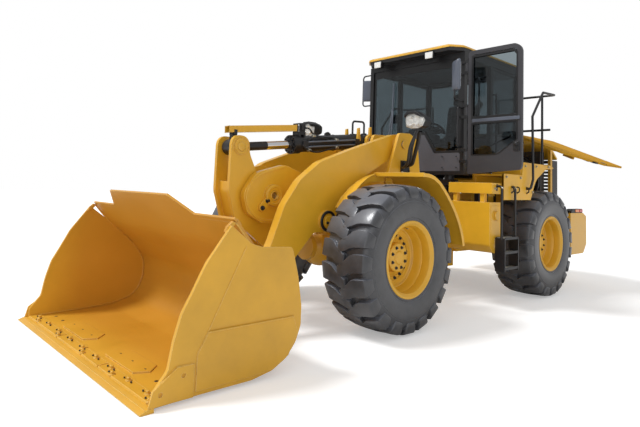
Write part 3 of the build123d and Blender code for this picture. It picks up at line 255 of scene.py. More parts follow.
def mix_finishes():
    """Every finish that the pieces use, by a short name."""
    paint = settings("paints")
    yellow, black, grey = tuple(paint.yellow), tuple(paint.black), tuple(paint.grey)
    FINISH.update({
        "yellow": material("gloss_yellow", yellow, rough=0.36, coat=0.25, vary=0.10, grain=0.06,
                           edge=tuple(paint.edge), edge_wear_and_highlight_share=0.75, dust=0.12, dust_colour=(0.40, 0.22, 0.04)),
        # the bucket's yellow is darkened a little as painted shade
        "bucket": material("bucket_yellow", tuple(paint.bucket), rough=0.42, coat=0.12, vary=0.20, vary_scale=1.4,
                           grain=0.12, grain_scale=45.0, edge=tuple(paint.edge), edge_wear_and_highlight_share=0.85, dust=0.15,
                           dust_colour=(0.40, 0.21, 0.04)),
        "rim": material("rim_yellow", tuple(c * 0.98 for c in yellow), rough=0.42, coat=0.15, vary=0.16, grain=0.08,
                        edge=tuple(paint.edge), edge_wear_and_highlight_share=0.5, dust=0.4, dust_colour=(0.36, 0.20, 0.05)),
        "black": material("satin_black", black, rough=0.38, vary=0.2, grain=0.1, edge=(0.06, 0.06, 0.065),
                          edge_wear_and_highlight_share=0.5, dust=0.18, dust_colour=(0.10, 0.09, 0.08)),
        "grey": material("cab_grey", grey, rough=0.42, vary=0.14, grain=0.12, grain_scale=160.0,
                         edge=(0.13, 0.13, 0.14), edge_wear_and_highlight_share=0.6, dust=0.16, dust_colour=(0.14, 0.12, 0.10)),
        "plastic": material("moulded_plastic", (0.016, 0.017, 0.019), rough=0.55, vary=0.12, grain=0.5,
                            grain_scale=420.0, edge=(0.05, 0.05, 0.055), edge_wear_and_highlight_share=0.4),
        "blind": material("mirror_back", (0.10, 0.115, 0.15), rough=0.34, vary=0.1, grain=0.1, grain_scale=240.0),
        # tyre rubber: lug edges lightened as wear and as a painted highlight, upward faces lightened as a painted sky
        # reflection
        "rubber": material("tyre_rubber", tuple(paint.rubber), rough=0.34, coat=0.25, vary=0.35, vary_scale=9.0,
                           grain=0.35, grain_scale=130.0, edge=(0.13, 0.135, 0.15), edge_wear_and_highlight_share=0.8, dust=0.35,
                           dust_colour=(0.055, 0.052, 0.05), top=0.8, sky_sheen_colour=(0.15, 0.16, 0.19)),
        "hose": material("hose_rubber", (0.012, 0.012, 0.013), rough=0.48, vary=0.2, grain=0.3, grain_scale=300.0,
                         soft=False),
        "seal": material("window_seal", (0.008, 0.008, 0.009), rough=0.35, vary=0.1, soft=False),
        "steel": material("machined_steel", (0.42, 0.42, 0.43), rough=0.32, metal=1.0, vary=0.25, grain=0.15,
                          grain_scale=220.0, dust=0.3, dust_colour=(0.20, 0.16, 0.11)),
        "zinc": material("plated_bolt", (0.50, 0.47, 0.38), rough=0.38, metal=0.85, vary=0.3, vary_scale=30.0,
                         soft=False),
        "chrome": material("hard_chrome", (0.72, 0.72, 0.74), rough=0.10, metal=1.0, vary=0.06, soft=False),
        "cast": material("engine_casting", (0.05, 0.052, 0.055), rough=0.55, metal=0.25, vary=0.3, vary_scale=8.0,
                         grain=0.6, grain_scale=110.0, dust=0.5, dust_colour=(0.10, 0.085, 0.06)),
        "cloth": seat_cloth(tuple(paint.seat)),
        "foam": material("sound_foam", (0.012, 0.012, 0.013), rough=0.95, vary=0.3, vary_scale=14.0, grain=1.0,
                         grain_scale=180.0, soft=False),
        "red": material("lock_red", tuple(paint.red), rough=0.34, coat=0.3, vary=0.12, edge=(0.55, 0.2, 0.15),
                        edge_wear_and_highlight_share=0.5),
        "lens_red": material("tail_red", (0.55, 0.012, 0.008), rough=0.12, coat=0.6, vary=0.08, grain=0.9,
                             grain_scale=70.0, soft=False),
        "lens_amber": material("turn_amber", (0.80, 0.20, 0.01), rough=0.12, coat=0.6, vary=0.08, grain=0.9,
                               grain_scale=70.0, soft=False),
        "reflector": material("lamp_reflector", (0.9, 0.9, 0.88), rough=0.16, metal=0.15, vary=0.05, grain=0.3,
                              grain_scale=60.0, soft=False),
        # engine doors: a duller, darker copy of the body yellow; the darkness is painted shade for the doors' faces
        "matt": material("door_yellow", (0.50, 0.255, 0.02), rough=0.95, vary=0.1, grain=0.1, grain_scale=140.0,
                         edge=(0.62, 0.34, 0.04), edge_wear_and_highlight_share=0.6, Specular_IOR_Level=0.08),
        "door": material("door_grey", tuple(c * 0.5 for c in grey), rough=0.38, vary=0.12, grain=0.12,
                         grain_scale=160.0, edge=(0.13, 0.13, 0.15), edge_wear_and_highlight_share=0.6),
        "screen": material("screen_face", (0.01, 0.012, 0.016), rough=0.12, coat=0.5, vary=0.05, soft=False),
        "wiper": material("wiper_grey", (0.16, 0.18, 0.22), rough=0.35, metal=0.4, vary=0.08, soft=False),
        "glass": glass("cab_glass_tint", tuple(paint.glass)),
        "lens": glass("clear_lens", (0.97, 0.97, 0.96)),
    })
    # painted shade: the bucket's inside is mixed towards a deep orange-brown
    paint_bucket_inside_shade(FINISH["bucket"], (0.52, 0.225, 0.018), 0.7)


BUCKET_INSIDE = 1.4035                  # half of its width, in metres
# where the painted shade inside the bucket begins and where it is full
INSIDE_SHADE_START, INSIDE_SHADE_FULL = 4.33, 3.95    # from the steering pin, in metres


def paint_bucket_inside_shade(finish, inside_shade_colour, share):
    """Paints shade into the bucket's inside: darker behind the lip and between the side plates, where the inside lies
    in shade.
    """
    nodes = finish.node_tree
    tree = Tree(nodes)
    shader = nodes.nodes["Principled BSDF"]
    before = shader.inputs["Base Color"].links[0].from_socket
    place = tree.node("ShaderNodeSeparateXYZ", {0: tree.node("ShaderNodeTexCoord").outputs["Object"]}).outputs
    deep = tree.ramp(place["X"], STEER_X + INSIDE_SHADE_START, STEER_X + INSIDE_SHADE_FULL, 0.0, share)
    across = tree.node("ShaderNodeMath", {0: place["Y"]}, operation="ABSOLUTE").outputs[0]
    between = tree.math(across, BUCKET_INSIDE, "LESS_THAN")
    inside_shade_share = tree.math(deep, between)
    tint = tree.mix(inside_shade_share, before, rgba(inside_shade_colour))
    nodes.links.new(tint, shader.inputs["Base Color"])


def seat_cloth(base):
    """Woven cloth: crossing threads as bump and colour, with a soft sheen."""
    made, tree, shader = new_finish("woven_cloth")
    place = tree.place()
    threads = []
    for direction in ("X", "Y"):
        wave = tree.node("ShaderNodeTexWave", {"Vector": place, "Scale": 110.0, "Distortion": 0.6},
                         bands_direction=direction if direction == "Y" else "DIAGONAL")
        threads.append(wave.outputs["Fac"])
    weave = tree.math(threads[0], threads[1])
    tint = tree.mix(weave, rgba(base, 0.6), rgba(base, 2.2))
    made.node_tree.links.new(tint, shader.inputs["Base Color"])
    bump = tree.node("ShaderNodeBump", {"Height": weave, "Strength": 0.6, "Distance": 0.001}).outputs[0]
    made.node_tree.links.new(bump, shader.inputs["Normal"])
    shader.inputs["Roughness"].default_value = 0.9
    shader.inputs["Sheen Weight"].default_value = 0.35
    return made


# ---- growing and forming meshes ----------------------------------------------------------------
def new_tree(name, sockets):
    """Geometry node tree with named inputs; returns the tree, its writer and the input's outputs."""
    tree = bpy.data.node_groups.new(name, "GeometryNodeTree")
    tree.interface.new_socket("Geometry", in_out="INPUT", socket_type="NodeSocketGeometry")
    for label, kind in sockets:
        tree.interface.new_socket(label, in_out="INPUT", socket_type=kind)
    tree.interface.new_socket("Geometry", in_out="OUTPUT", socket_type="NodeSocketGeometry")
    writer = Tree(tree)
    return tree, writer, writer.node("NodeGroupInput").outputs


def close_tree(writer, geometry, finish, smooth=True):
    """Realize, shade, set the finish and send it to the output."""
    made = writer.node("GeometryNodeRealizeInstances", {0: geometry}).outputs[0]
    made = writer.node("GeometryNodeSetShadeSmooth", {"Geometry": made, "Shade Smooth": smooth}).outputs[0]
    made = writer.node("GeometryNodeSetMaterial", {"Geometry": made, "Material": finish}).outputs[0]
    writer.node("NodeGroupOutput", {0: made})


def grow(name, seed, tree, values, body):
    """Plain mesh that the tree grows from a seed mesh, riding on a body."""
    obj = bpy.data.objects.new(name, seed)
    bpy.context.scene.collection.objects.link(obj)
    modifier = obj.modifiers.new("grow", "NODES")
    modifier.node_group = tree
    for item in tree.interface.items_tree:
        if item.item_type == "SOCKET" and item.in_out == "INPUT" and item.name in values:
            modifier[item.identifier] = values[item.name]
    depsgraph = bpy.context.evaluated_depsgraph_get()
    mesh = bpy.data.meshes.new_from_object(obj.evaluated_get(depsgraph), depsgraph=depsgraph)
    obj.modifiers.clear()
    obj.data = mesh
    if not mesh.polygons:
        raise RuntimeError(f"{name} grew no faces")
    mark_sharp(mesh)
    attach(obj, body)
    return obj


def mark_sharp(mesh, limit=35):
    """Smooth faces with sharp edges where the surface turns more than the limit."""
    work = bmesh.new()
    work.from_mesh(mesh)
    for face in work.faces:
        face.smooth = True
    for edge in work.edges:
        edge.smooth = len(edge.link_faces) == 2 and edge.calc_face_angle(0) < math.radians(limit)
    work.to_mesh(mesh)
    work.free()


def seed_points(spots, normals=None):
    mesh = bpy.data.meshes.new("seed")
    mesh.from_pydata([tuple(point) for point in spots], [], [])
    if normals is not None:
        layer = mesh.attributes.new("facing", "FLOAT_VECTOR", "POINT")
        layer.data.foreach_set("vector", [value for normal in normals for value in normal])
    return mesh


def seed_lines(lines):
    mesh = bpy.data.meshes.new("seed")
    points, edges = [], []
    for line in lines:
        start = len(points)
        points += [tuple(spot(*point)) for point in line]
        edges += [(start + i, start + i + 1) for i in range(len(line) - 1)]
    mesh.from_pydata(points, edges, [])
    return mesh


def bolts(name, heads, body, finish="zinc", width=0.034, washer=True):
    """Hexagon heads on washers; heads holds each one's place in the drawing and the way it faces."""
    tree, writer, given = new_tree(name + "_tree", [("Width", "NodeSocketFloat")])
    radius = writer.math(given["Width"], 0.5)
    height = writer.math(given["Width"], 0.62)
    raised = writer.node("ShaderNodeCombineXYZ", {"Z": writer.math(given["Width"], 0.40)}).outputs[0]
    head = writer.node("GeometryNodeMeshCylinder", {"Vertices": 6, "Radius": radius, "Depth": height}).outputs[0]
    crown = writer.node("GeometryNodeMeshCone", {
        "Vertices": 12, "Radius Bottom": writer.math(radius, 0.84),
        "Radius Top": writer.math(radius, 0.62),
        "Depth": writer.math(given["Width"], 0.06),
    }).outputs[0]
    crown = writer.node("GeometryNodeTransform", {"Geometry": crown, "Translation": writer.node(
        "ShaderNodeCombineXYZ", {"Z": writer.math(given["Width"], 0.71)}).outputs[0]}).outputs[0]
    head = writer.node("GeometryNodeTransform", {"Geometry": head, "Translation": raised}).outputs[0]
    join = writer.node("GeometryNodeJoinGeometry")
    writer.tree.links.new(head, join.inputs[0])
    writer.tree.links.new(crown, join.inputs[0])
    if washer:
        ring = writer.node("GeometryNodeMeshCylinder", {
            "Vertices": 20, "Radius": writer.math(radius, 1.5),
            "Depth": writer.math(given["Width"], 0.22)}).outputs[0]
        writer.tree.links.new(ring, join.inputs[0])
    facing = writer.node("GeometryNodeInputNamedAttribute", {"Name": "facing"},
                         data_type="FLOAT_VECTOR").outputs["Attribute"]
    turn = writer.node("FunctionNodeAlignRotationToVector", {"Vector": facing}, axis="Z").outputs[0]
    placed = writer.node("GeometryNodeInstanceOnPoints", {"Points": given["Geometry"], "Instance": join.outputs[0],
                                                          "Rotation": turn}).outputs[0]
    close_tree(writer, placed, FINISH[finish])
    spots = [spot(*place) for place, _ in heads]
    normals = [tuple(Vector(way).normalized()) for _, way in heads]
    return grow(name, seed_points(spots, normals), tree, {"Width": width}, body)


def runs(name, lines, radius, body, finish, bend=None, sides=12):
    """Round bars, pipes and hoses along lines. With a bend they have straight runs and arcs, else a free curve."""
    tree, writer, given = new_tree(name + "_tree", [("Radius", "NodeSocketFloat"), ("Bend", "NodeSocketFloat")])
    curve = writer.node("GeometryNodeMeshToCurve", {0: given["Geometry"]}).outputs[0]
    if bend is None:
        curve = writer.node("GeometryNodeCurveSplineType", {0: curve}, spline_type="CATMULL_ROM").outputs[0]
        curve = writer.node("GeometryNodeSetSplineResolution", {0: curve, "Resolution": 8}).outputs[0]
    else:
        corner = writer.node("GeometryNodeFilletCurve", {"Curve": curve, "Radius": given["Bend"]}, mode="POLY")
        for socket in corner.inputs:
            if socket.name == "Count":
                socket.default_value = 7
            if socket.name == "Limit Radius":
                socket.default_value = True
        curve = corner.outputs[0]
    ring = writer.node("GeometryNodeCurvePrimitiveCircle", {"Resolution": sides, "Radius": given["Radius"]})
    tube = writer.node("GeometryNodeCurveToMesh", {"Curve": curve, "Profile Curve": ring.outputs[0],
                                                   "Fill Caps": True}).outputs[0]
    close_tree(writer, tube, FINISH[finish])
    values = {"Radius": radius, "Bend": bend or 0.0}
    obj = grow(name, seed_lines(lines), tree, values, body)
    mark_sharp(obj.data, 50)
    return obj


def around(name, seed, centre, total, body, finish, start=0.0, limit=35):
    """Copies of a seed mesh, drawn about the Y axis, turned round an axle at centre."""
    tree, writer, given = new_tree(name + "_tree", [("Count", "NodeSocketInt"), ("Start", "NodeSocketFloat"),
                                                    ("Centre", "NodeSocketVector")])
    points = writer.node("GeometryNodePoints", {"Count": given["Count"]}).outputs[0]
    index = writer.node("GeometryNodeInputIndex").outputs[0]
    pitch = writer.math(math.tau, given["Count"], "DIVIDE")
    turn = writer.node("ShaderNodeMath", {0: index, 1: pitch, 2: given["Start"]},
                       operation="MULTIPLY_ADD").outputs[0]
    angles = writer.node("ShaderNodeCombineXYZ", {"Y": turn}).outputs[0]
    placed = writer.node("GeometryNodeInstanceOnPoints", {"Points": points, "Instance": given["Geometry"],
                                                          "Rotation": angles}).outputs[0]
    placed = writer.node("GeometryNodeRealizeInstances", {0: placed}).outputs[0]
    placed = writer.node("GeometryNodeTransform", {"Geometry": placed, "Translation": given["Centre"]}).outputs[0]
    close_tree(writer, placed, FINISH[finish])
    obj = grow(name, seed, tree, {"Count": total, "Start": start, "Centre": tuple(centre)}, body)
    mark_sharp(obj.data, limit)
    return obj


class Shape:
    """Mesh put together from prisms and turned parts given in the drawing's millimetres."""

    def __init__(self):
        self.points, self.faces = [], []

    def add(self, points, faces):
        start = len(self.points)
        self.points += points
        self.faces += [[start + i for i in face] for face in faces]
        return self

    def prism(self, loop, axis, low, high):
        """Closed outline pushed along an axis; its two numbers are the other axes in order."""
        total = len(loop)
        order = {"x": (2, 0, 1), "y": (0, 2, 1), "z": (0, 1, 2)}[axis]
        points = []
        for level in (low, high):
            for u, v in loop:
                values = (u, v, level)
                points.append(tuple(values[i] for i in order))
        faces = [list(range(total))[::-1], [total + i for i in range(total)]]
        faces += [[i, (i + 1) % total, total + (i + 1) % total, total + i] for i in range(total)]
        return self.add(points, faces)

    def block(self, x0, x1, y0, y1, z0, z1):
        return self.prism([(x0, y0), (x1, y0), (x1, y1), (x0, y1)], "z", z0, z1)

    def turned(self, profile, centre, way, steps=32):
        """Profile of radius and distance along way, turned about it. It closes on the axis or on itself."""
        middle, way = Vector(centre), Vector(way).normalized()
        side = way.orthogonal().normalized()
        other = way.cross(side)
        points, faces, rings = [], [], []
        for radius, distance in profile:
            if radius <= 0:
                rings.append([len(points)])
                points.append(tuple(middle + way * distance))
                continue
            ring = []
            for i in range(steps):
                angle = math.tau * i / steps
                ring.append(len(points))
                points.append(tuple(middle + way * distance
                                    + (side * math.cos(angle) + other * math.sin(angle)) * radius))
            rings.append(ring)
        pairs = list(zip(rings, rings[1:]))
        if profile[0][0] > 0 and profile[-1][0] > 0:
            pairs.append((rings[-1], rings[0]))
        for first, second in pairs:
            for i in range(steps):
                j = (i + 1) % steps
                if len(first) == 1:
                    faces.append([first[0], second[i], second[j]])
                elif len(second) == 1:
                    faces.append([first[i], second[0], first[j]])
                else:
                    faces.append([first[i], second[i], second[j], first[j]])
        return self.add(points, faces)

    def plate(self, loop, side, low, high):
        """Outline pushed across, from low to high on the left for side 1 and on the right for -1."""
        return self.prism(loop, "y", side * low, side * high)

    def boss(self, profile, pin, y, side, steps=36):
        """Profile turned about a cross pin, given along and up, from a distance across and outwards."""
        return self.turned(profile, (pin[0], side * y, pin[1]), (0, side, 0), steps)

    def frame_of(self, outer, inner, axis, low, high):
        """Flat ring between two outlines of the same number of corners."""
        total = len(outer)
        order = {"x": (2, 0, 1), "y": (0, 2, 1), "z": (0, 1, 2)}[axis]
        points = []
        for level in (low, high):
            for loop in (outer, inner):
                for u, v in loop:
                    values = (u, v, level)
                    points.append(tuple(values[i] for i in order))
        faces = []
        for i in range(total):
            j = (i + 1) % total
            faces += [[i, total + i, total + j, j], [2 * total + i, 2 * total + j, 3 * total + j, 3 * total + i],
                      [i, j, 2 * total + j, 2 * total + i],
                      [total + i, 3 * total + i, 3 * total + j, total + j]]
        return self.add(points, faces)

    def mesh(self, name):
        made = bpy.data.meshes.new(name)
        made.from_pydata([tuple(spot(*point)) for point in self.points], [], self.faces)
        work = bmesh.new()
        work.from_mesh(made)
        bmesh.ops.remove_doubles(work, verts=work.verts, dist=1e-6)
        bmesh.ops.recalc_face_normals(work, faces=work.faces)
        work.to_mesh(made)
        work.free()
        return made

    def piece(self, name, finish, body, slot=None, bevel=0.0, segments=2, limit=35, subdivide=0):
        return place_mesh(name, self.mesh(name), finish, body, slot, bevel, segments, limit, subdivide)


def place_mesh(name, mesh, finish, body, slot=None, bevel=0.0, segments=2, limit=35, subdivide=0):
    """Object for a finished mesh, with rounded edges if a bevel is given, riding on a body."""
    obj = bpy.data.objects.new(name, mesh)
    bpy.context.scene.collection.objects.link(obj)
    mesh.materials.clear()
    mesh.materials.append(FINISH[finish])
    mark_sharp(mesh, limit)
    if bevel:
        rounding = obj.modifiers.new("rounding", "BEVEL")
        rounding.width = bevel
        rounding.segments = segments
        rounding.limit_method = "ANGLE"
        rounding.angle_limit = math.radians(limit)
        rounding.harden_normals = True
    if subdivide:
        smooth = obj.modifiers.new("smooth", "SUBSURF")
        smooth.levels = smooth.render_levels = subdivide
    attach(obj, body)
    slot = SLOT.get(finish) if slot is None else slot
    return obj


# ---- dressing the frame's own parts ---------------------------------------------------------------
def shade_tree():
    """Shading only: drops the custom normals, shades faces smooth and marks the edges that stay sharp."""
    tree = bpy.data.node_groups.get("round_shading")
    if tree:
        return tree
    tree, writer, given = new_tree("round_shading", [])
    plain = writer.node("GeometryNodeRemoveAttribute", {0: given["Geometry"], "Name": "custom_normal"}).outputs[0]
    angle = writer.node("GeometryNodeInputMeshEdgeAngle").outputs["Unsigned Angle"]
    flat = writer.node("FunctionNodeCompare", {0: angle, 1: math.radians(32)}, operation="LESS_THAN",
                       data_type="FLOAT").outputs[0]
    edges = writer.node("GeometryNodeSetShadeSmooth", {"Geometry": plain, "Shade Smooth": flat},
                        domain="EDGE").outputs[0]
    faces = writer.node("GeometryNodeSetShadeSmooth", {"Geometry": edges, "Shade Smooth": True}).outputs[0]
    writer.node("NodeGroupOutput", {0: faces})
    return tree


def dress(finish, *nodes):
    """Gives the frame's own parts a finish and round shading; their meshes stay as they are."""
    for node in nodes:
        obj = frame["nodes"][node]
        if not obj.material_slots:
            obj.data.materials.append(FINISH[finish])
        for entry in obj.material_slots:
            entry.link = "OBJECT"
            entry.material = FINISH[finish]
        weld = obj.modifiers.new("weld", "WELD")
        weld.merge_threshold = 1e-5
        obj.modifiers.new("shading", "NODES").node_group = shade_tree()


def dress_frame():
    dress("yellow", "front_frame", "boom", "bellcrank", "bucket_link", "front_fenders", "front_axle", "rear_frame",
          "rear_axle", "cab_roof", "platforms", "side_boxes", "counterweight", "hood", "transmission")
    dress("bucket", "bucket", "cutting_edge")
    dress("black", "ladders", "handrails", "headlamp_brackets", "rear_grille", "cooling_pack", "cab_base",
          "tilt_cylinder_barrel", "lift_cylinder_barrels", "steering_cylinder_barrel_left",
          "steering_cylinder_barrel_right")
    dress("seal", "cab_shell")
    dress("grey", "cab_panels")
    dress("door", "cab_door")
    # the engine doors take the darker yellow: painted shade
    dress("matt", "engine_door_left", "engine_door_right")
    dress("plastic", "console", "steering_column", "work_lamps", "headlamps")
    dress("blind", "mirrors")
    dress("cast", "engine", "exhaust")
    dress("red", "lock_bar")
    dress("glass", "cab_glass", "cab_door_glass")
    dress("chrome", "tilt_cylinder_rod", "lift_cylinder_rods", "steering_cylinder_rod_left",
          "steering_cylinder_rod_right")
    dress("steel", "boom_pins", "bellcrank_pin", "bucket_pins", "front_frame_pins", "hitch_pins")
    dress("rim", *[f"rim_{end}_{side}" for end in ("front", "rear") for side in ("left", "right")])
    dress("rubber", *[f"tyre_{end}_{side}" for end in ("front", "rear") for side in ("left", "right")])
    dress("cloth", "seat")


# ---- tyres and rims --------------------------------------------------------------------------------
# one tread block from past the tyre's middle out over the shoulder: place across and radius of its top,
# the same of its root, shift round the tyre and half its width
LUG_LOFT = (
    (-46, 764, -46, 700, 96, 48), (-8, 765, -8, 700, 88, 62), (62, 764, 62, 700, 52, 74),
    (112, 762, 112, 700, 16, 84), (160, 760, 160, 700, 2, 88), (232, 753, 232, 696, -4, 88),
    (272, 742, 262, 690, -6, 85), (290, 712, 268, 676, -6, 80), (296, 668, 278, 656, -6, 72),
    (295, 628, 284, 626, -6, 62),
)
SIDEWALL = (
    (352, 236), (381, 252), (389, 268), (398, 275), (410, 277), (414, 272), (424, 273), (428, 280), (470, 288),
    (520, 293), (572, 295), (594, 294), (598, 290), (606, 290), (612, 289), (650, 281), (680, 268), (702, 246),
    (712, 205), (717, 120), (718, 0),
)
WHEELS = [(end, side) for end in ("front", "rear") for side in ("left", "right")]


DRAWN_RADIUS = 765       # of the tread in the two tables above
REAR_TURN = 0.09         # turns the rear treads, so that not all four stand alike


def lug_mesh(side, scale):
    """Closed tread block about the Y axis at the top of the tyre."""
    points, faces = [], []
    for across, top, root_across, root, shift, half in LUG_LOFT:
        for along, place, radius in ((shift - half, across, top), (shift + half, across, top),
                                     (shift + half + 7, root_across, root), (shift - half - 7, root_across, root)):
            angle = along / DRAWN_RADIUS
            points.append((radius * math.sin(angle) * scale, side * place * scale, radius * math.cos(angle) * scale))
    total = len(LUG_LOFT)
    for k in range(total - 1):
        for i in range(4):
            j = (i + 1) % 4
            faces.append([4 * k + i, 4 * k + j, 4 * k + 4 + j, 4 * k + 4 + i])
    faces += [[0, 3, 2, 1], [4 * total - 4, 4 * total - 3, 4 * total - 2, 4 * total - 1]]
    mesh = bpy.data.meshes.new("lug")
    mesh.from_pydata(points, [], faces)
    work = bmesh.new()
    work.from_mesh(mesh)
    bmesh.ops.recalc_face_normals(work, faces=work.faces)
    sharp = [edge for edge in work.edges if edge.calc_face_angle(0) > math.radians(34)]
    bmesh.ops.bevel(work, geom=sharp, offset=0.007, segments=2, affect="EDGES", profile=0.6, clamp_overlap=True)
    work.to_mesh(mesh)
    work.free()
    return mesh


def make_tyres():
    sizes = settings("tyres")
    scale = sizes.radius / DRAWN_RADIUS
    ring = list(SIDEWALL) + [(radius, -across) for radius, across in SIDEWALL[-2::-1]] + [(352, -150), (352, 150)]
    shape = Shape().turned(ring, (0, 0, 0), (0, 1, 0), 96)
    carcass = bpy.data.meshes.new("carcass")
    carcass.from_pydata([(x / 1000, y / 1000, z / 1000) for x, y, z in shape.points], [], shape.faces)
    work = bmesh.new()
    work.from_mesh(carcass)
    bmesh.ops.recalc_face_normals(work, faces=work.faces)
    for side in (1, -1):
        start = 0.0 if side == 1 else math.pi / sizes.lugs
        row = around(f"lug_row_{side + 1}", lug_mesh(side, scale), (0, 0, 0), sizes.lugs, "wheel_front_left",
                     "rubber", start)
        work.from_mesh(row.data)
        bpy.data.objects.remove(row)
    work.to_mesh(carcass)
    work.free()
    for end, side in WHEELS:
        mesh = carcass.copy()
        centre = joint_spot(f"wheel_{end}_{side}_spin")
        turn = Matrix.Rotation(REAR_TURN if end == "rear" else 0.0, 4, "Y")
        mesh.transform(Matrix.Translation(centre) @ turn)
        tyre = place_mesh(f"tread_{end}_{side}", mesh, "rubber", f"wheel_{end}_{side}", "tyre_rubber", limit=40)
        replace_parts(tyre, f"tyre_{end}_{side}")


# section of the dished wheel: radius from the axle and distance outwards from the wheel's middle
RIM_LINE = (
    (0, 128), (60, 128), (70, 120), (74, 114), (138, 112), (150, 104), (154, 24), (204, 12), (212, 22), (238, 26),
    (246, 38), (286, 44), (308, 64), (322, 112), (332, 156), (338, 164), (340, 246), (346, 258), (356, 264),
    (364, 274), (378, 281), (390, 280), (399, 269), (399, 255), (392, 252), (352, 240), (350, 120), (350, -240),
    (392, -252), (399, -255), (399, -266), (388, -279), (370, -274), (350, -262), (341, -248), (336, -164),
    (326, -60), (318, 0), (300, 20), (240, -2), (205, -12), (152, -14), (150, -94), (0, -94),
)


def make_rims():
    for end, side in WHEELS:
        out = 1 if side == "left" else -1
        body = f"wheel_{end}_{side}"
        centre = joint_spot(f"wheel_{end}_{side}_spin")
        x, y, z = (centre.x - STEER_X) * 1000, centre.y * 1000, centre.z * 1000
        shape = Shape().turned(RIM_LINE, (x, y, z), (0, out, 0), 96)
        shape.turned([(299, 62), (303, 66), (312, 66), (316, 60)], (x, y, z), (0, out, 0), 64)
        rim = shape.piece(f"dish_{end}_{side}", "rim", body, limit=30)
        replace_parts(rim, f"rim_{end}_{side}")
        heads = []
        for ring_r, total, height in ((226, 16, 26), (110, 8, 113)):
            for i in range(total):
                angle = math.tau * (i + 0.5) / total
                heads.append(((x + ring_r * math.sin(angle), y + out * height, z + ring_r * math.cos(angle)),
                              (0, out, 0)))
        bolts(f"wheel_bolts_{end}_{side}", heads, body, "black", 0.024)
        valve = [[(x, y + out * 150, z + 328), (x, y + out * 200, z + 312), (x, y + out * 226, z + 308)]]
        runs(f"valve_{end}_{side}", valve, 0.005, body, "steel", sides=8)


# ---- stage ---------------------------------------------------------------------------------------------
def camera_white(name, base, lift):
    """Diffuse surface that the camera sees a little brighter, so that it meets the white background."""
    made = bpy.data.materials.new(name)
    made.use_nodes = True
    nodes = made.node_tree.nodes
    nodes.remove(nodes["Principled BSDF"])
    tree = Tree(made.node_tree)
    plain = tree.node("ShaderNodeBsdfDiffuse", {"Color": rgba(base)}).outputs[0]
    seen = tree.node("ShaderNodeLightPath").outputs["Is Camera Ray"]
    glow = tree.math(seen, lift)
    extra = tree.node("ShaderNodeEmission", {"Color": (1, 1, 1, 1), "Strength": glow}).outputs[0]
    both = tree.node("ShaderNodeAddShader", {0: plain, 1: extra}).outputs[0]
    made.node_tree.links.new(both, nodes["Material Output"].inputs["Surface"])
    return made


FLOOR_LIFT = 0.34
CAMERA_PLACE = (6.06, 4.642, 1.471)      # from the steering pin's foot, in metres
CAMERA_YAW, CAMERA_PITCH, CAMERA_ROLL = 226.96, 4.51, 1.98
CAMERA_SHIFT = -0.1056


def make_stage():
    stage = settings("stage")
    scene = bpy.context.scene
    scene.view_settings.view_transform = "Standard"
    mesh = bpy.data.meshes.new("floor")
    reach = 60.0
    mesh.from_pydata([(-reach, -reach, 0), (reach, -reach, 0), (reach, reach, 0), (-reach, reach, 0)], [],
                     [(0, 1, 2, 3)])
    floor = bpy.data.objects.new("floor", mesh)
    scene.collection.objects.link(floor)
    mesh.materials.append(camera_white("pale_floor", tuple(stage.floor), FLOOR_LIFT))
    world = bpy.data.worlds.new("studio")
    scene.world = world
    world.use_nodes = True
    nodes = world.node_tree.nodes
    tree = Tree(world.node_tree)
    path = tree.node("ShaderNodeLightPath").outputs
    seen = tree.math(path["Is Camera Ray"], path["Is Transmission Ray"], "MAXIMUM")
    strength = tree.node("ShaderNodeMapRange", {"Value": seen, "To Min": stage.sky, "To Max": 1.0}).outputs[0]
    world.node_tree.links.new(strength, nodes["Background"].inputs["Strength"])
    nodes["Background"].inputs["Color"].default_value = (1, 1, 1, 1)
    sun = bpy.data.lights.new("key", "SUN")
    sun.energy = stage.key
    sun.angle = math.radians(16)
    key = bpy.data.objects.new("key", sun)
    scene.collection.objects.link(key)
    key.rotation_euler = Vector((-0.55, 0.40, -1.0)).to_track_quat("-Z", "Y").to_euler()
    fill = bpy.data.lights.new("fill", "SUN")
    fill.energy = stage.fill
    fill.angle = math.radians(60)
    fill.use_shadow = False
    side = bpy.data.objects.new("fill", fill)
    scene.collection.objects.link(side)
    side.rotation_euler = Vector((-0.6, -0.75, -0.35)).to_track_quat("-Z", "Y").to_euler()
    data = bpy.data.cameras.new("camera")
    data.sensor_width = 36
    data.lens = stage.focal
    data.shift_y = CAMERA_SHIFT
    data.clip_end = 300
    camera = bpy.data.objects.new("camera", data)
    scene.collection.objects.link(camera)
    yaw, pitch, roll = (math.radians(value) for value in (CAMERA_YAW, CAMERA_PITCH, CAMERA_ROLL))
    turn = (Matrix.Rotation(yaw - math.pi / 2, 4, "Z") @ Matrix.Rotation(math.pi / 2 + pitch, 4, "X")
            @ Matrix.Rotation(roll, 4, "Z"))
    x, y, z = CAMERA_PLACE
    camera.matrix_world = Matrix.Translation((x + STEER_X, y, z)) @ turn
    scene.camera = camera


# ---- front fenders and their guards -----------------------------------------------------------------
FENDER_LINE = ((1462, 1658), (1310, 1650), (1165, 1588), (1050, 1492), (955, 1398), (860, 1290), (786, 1190),
               (720, 1075), (676, 975), (646, 855))


def smoothed(points, rounds=2):
    """Open line with its corners cut again and again, its ends kept."""
    for _ in range(rounds):
        line = [points[0]]
        for (ax, az), (bx, bz) in zip(points, points[1:]):
            line += [(ax * 0.75 + bx * 0.25, az * 0.75 + bz * 0.25), (ax * 0.25 + bx * 0.75, az * 0.25 + bz * 0.75)]
        points = line + [points[-1]]
    return points


def inset(points, depth):
    """Line at a depth to the right of an open line, walking along it."""
    line = []
    for i, (x, z) in enumerate(points):
        (ax, az), (bx, bz) = points[max(i - 1, 0)], points[min(i + 1, len(points) - 1)]
        size = math.hypot(bx - ax, bz - az)
        line.append((x + (bz - az) / size * -depth, z + (bx - ax) / size * depth))
    return line


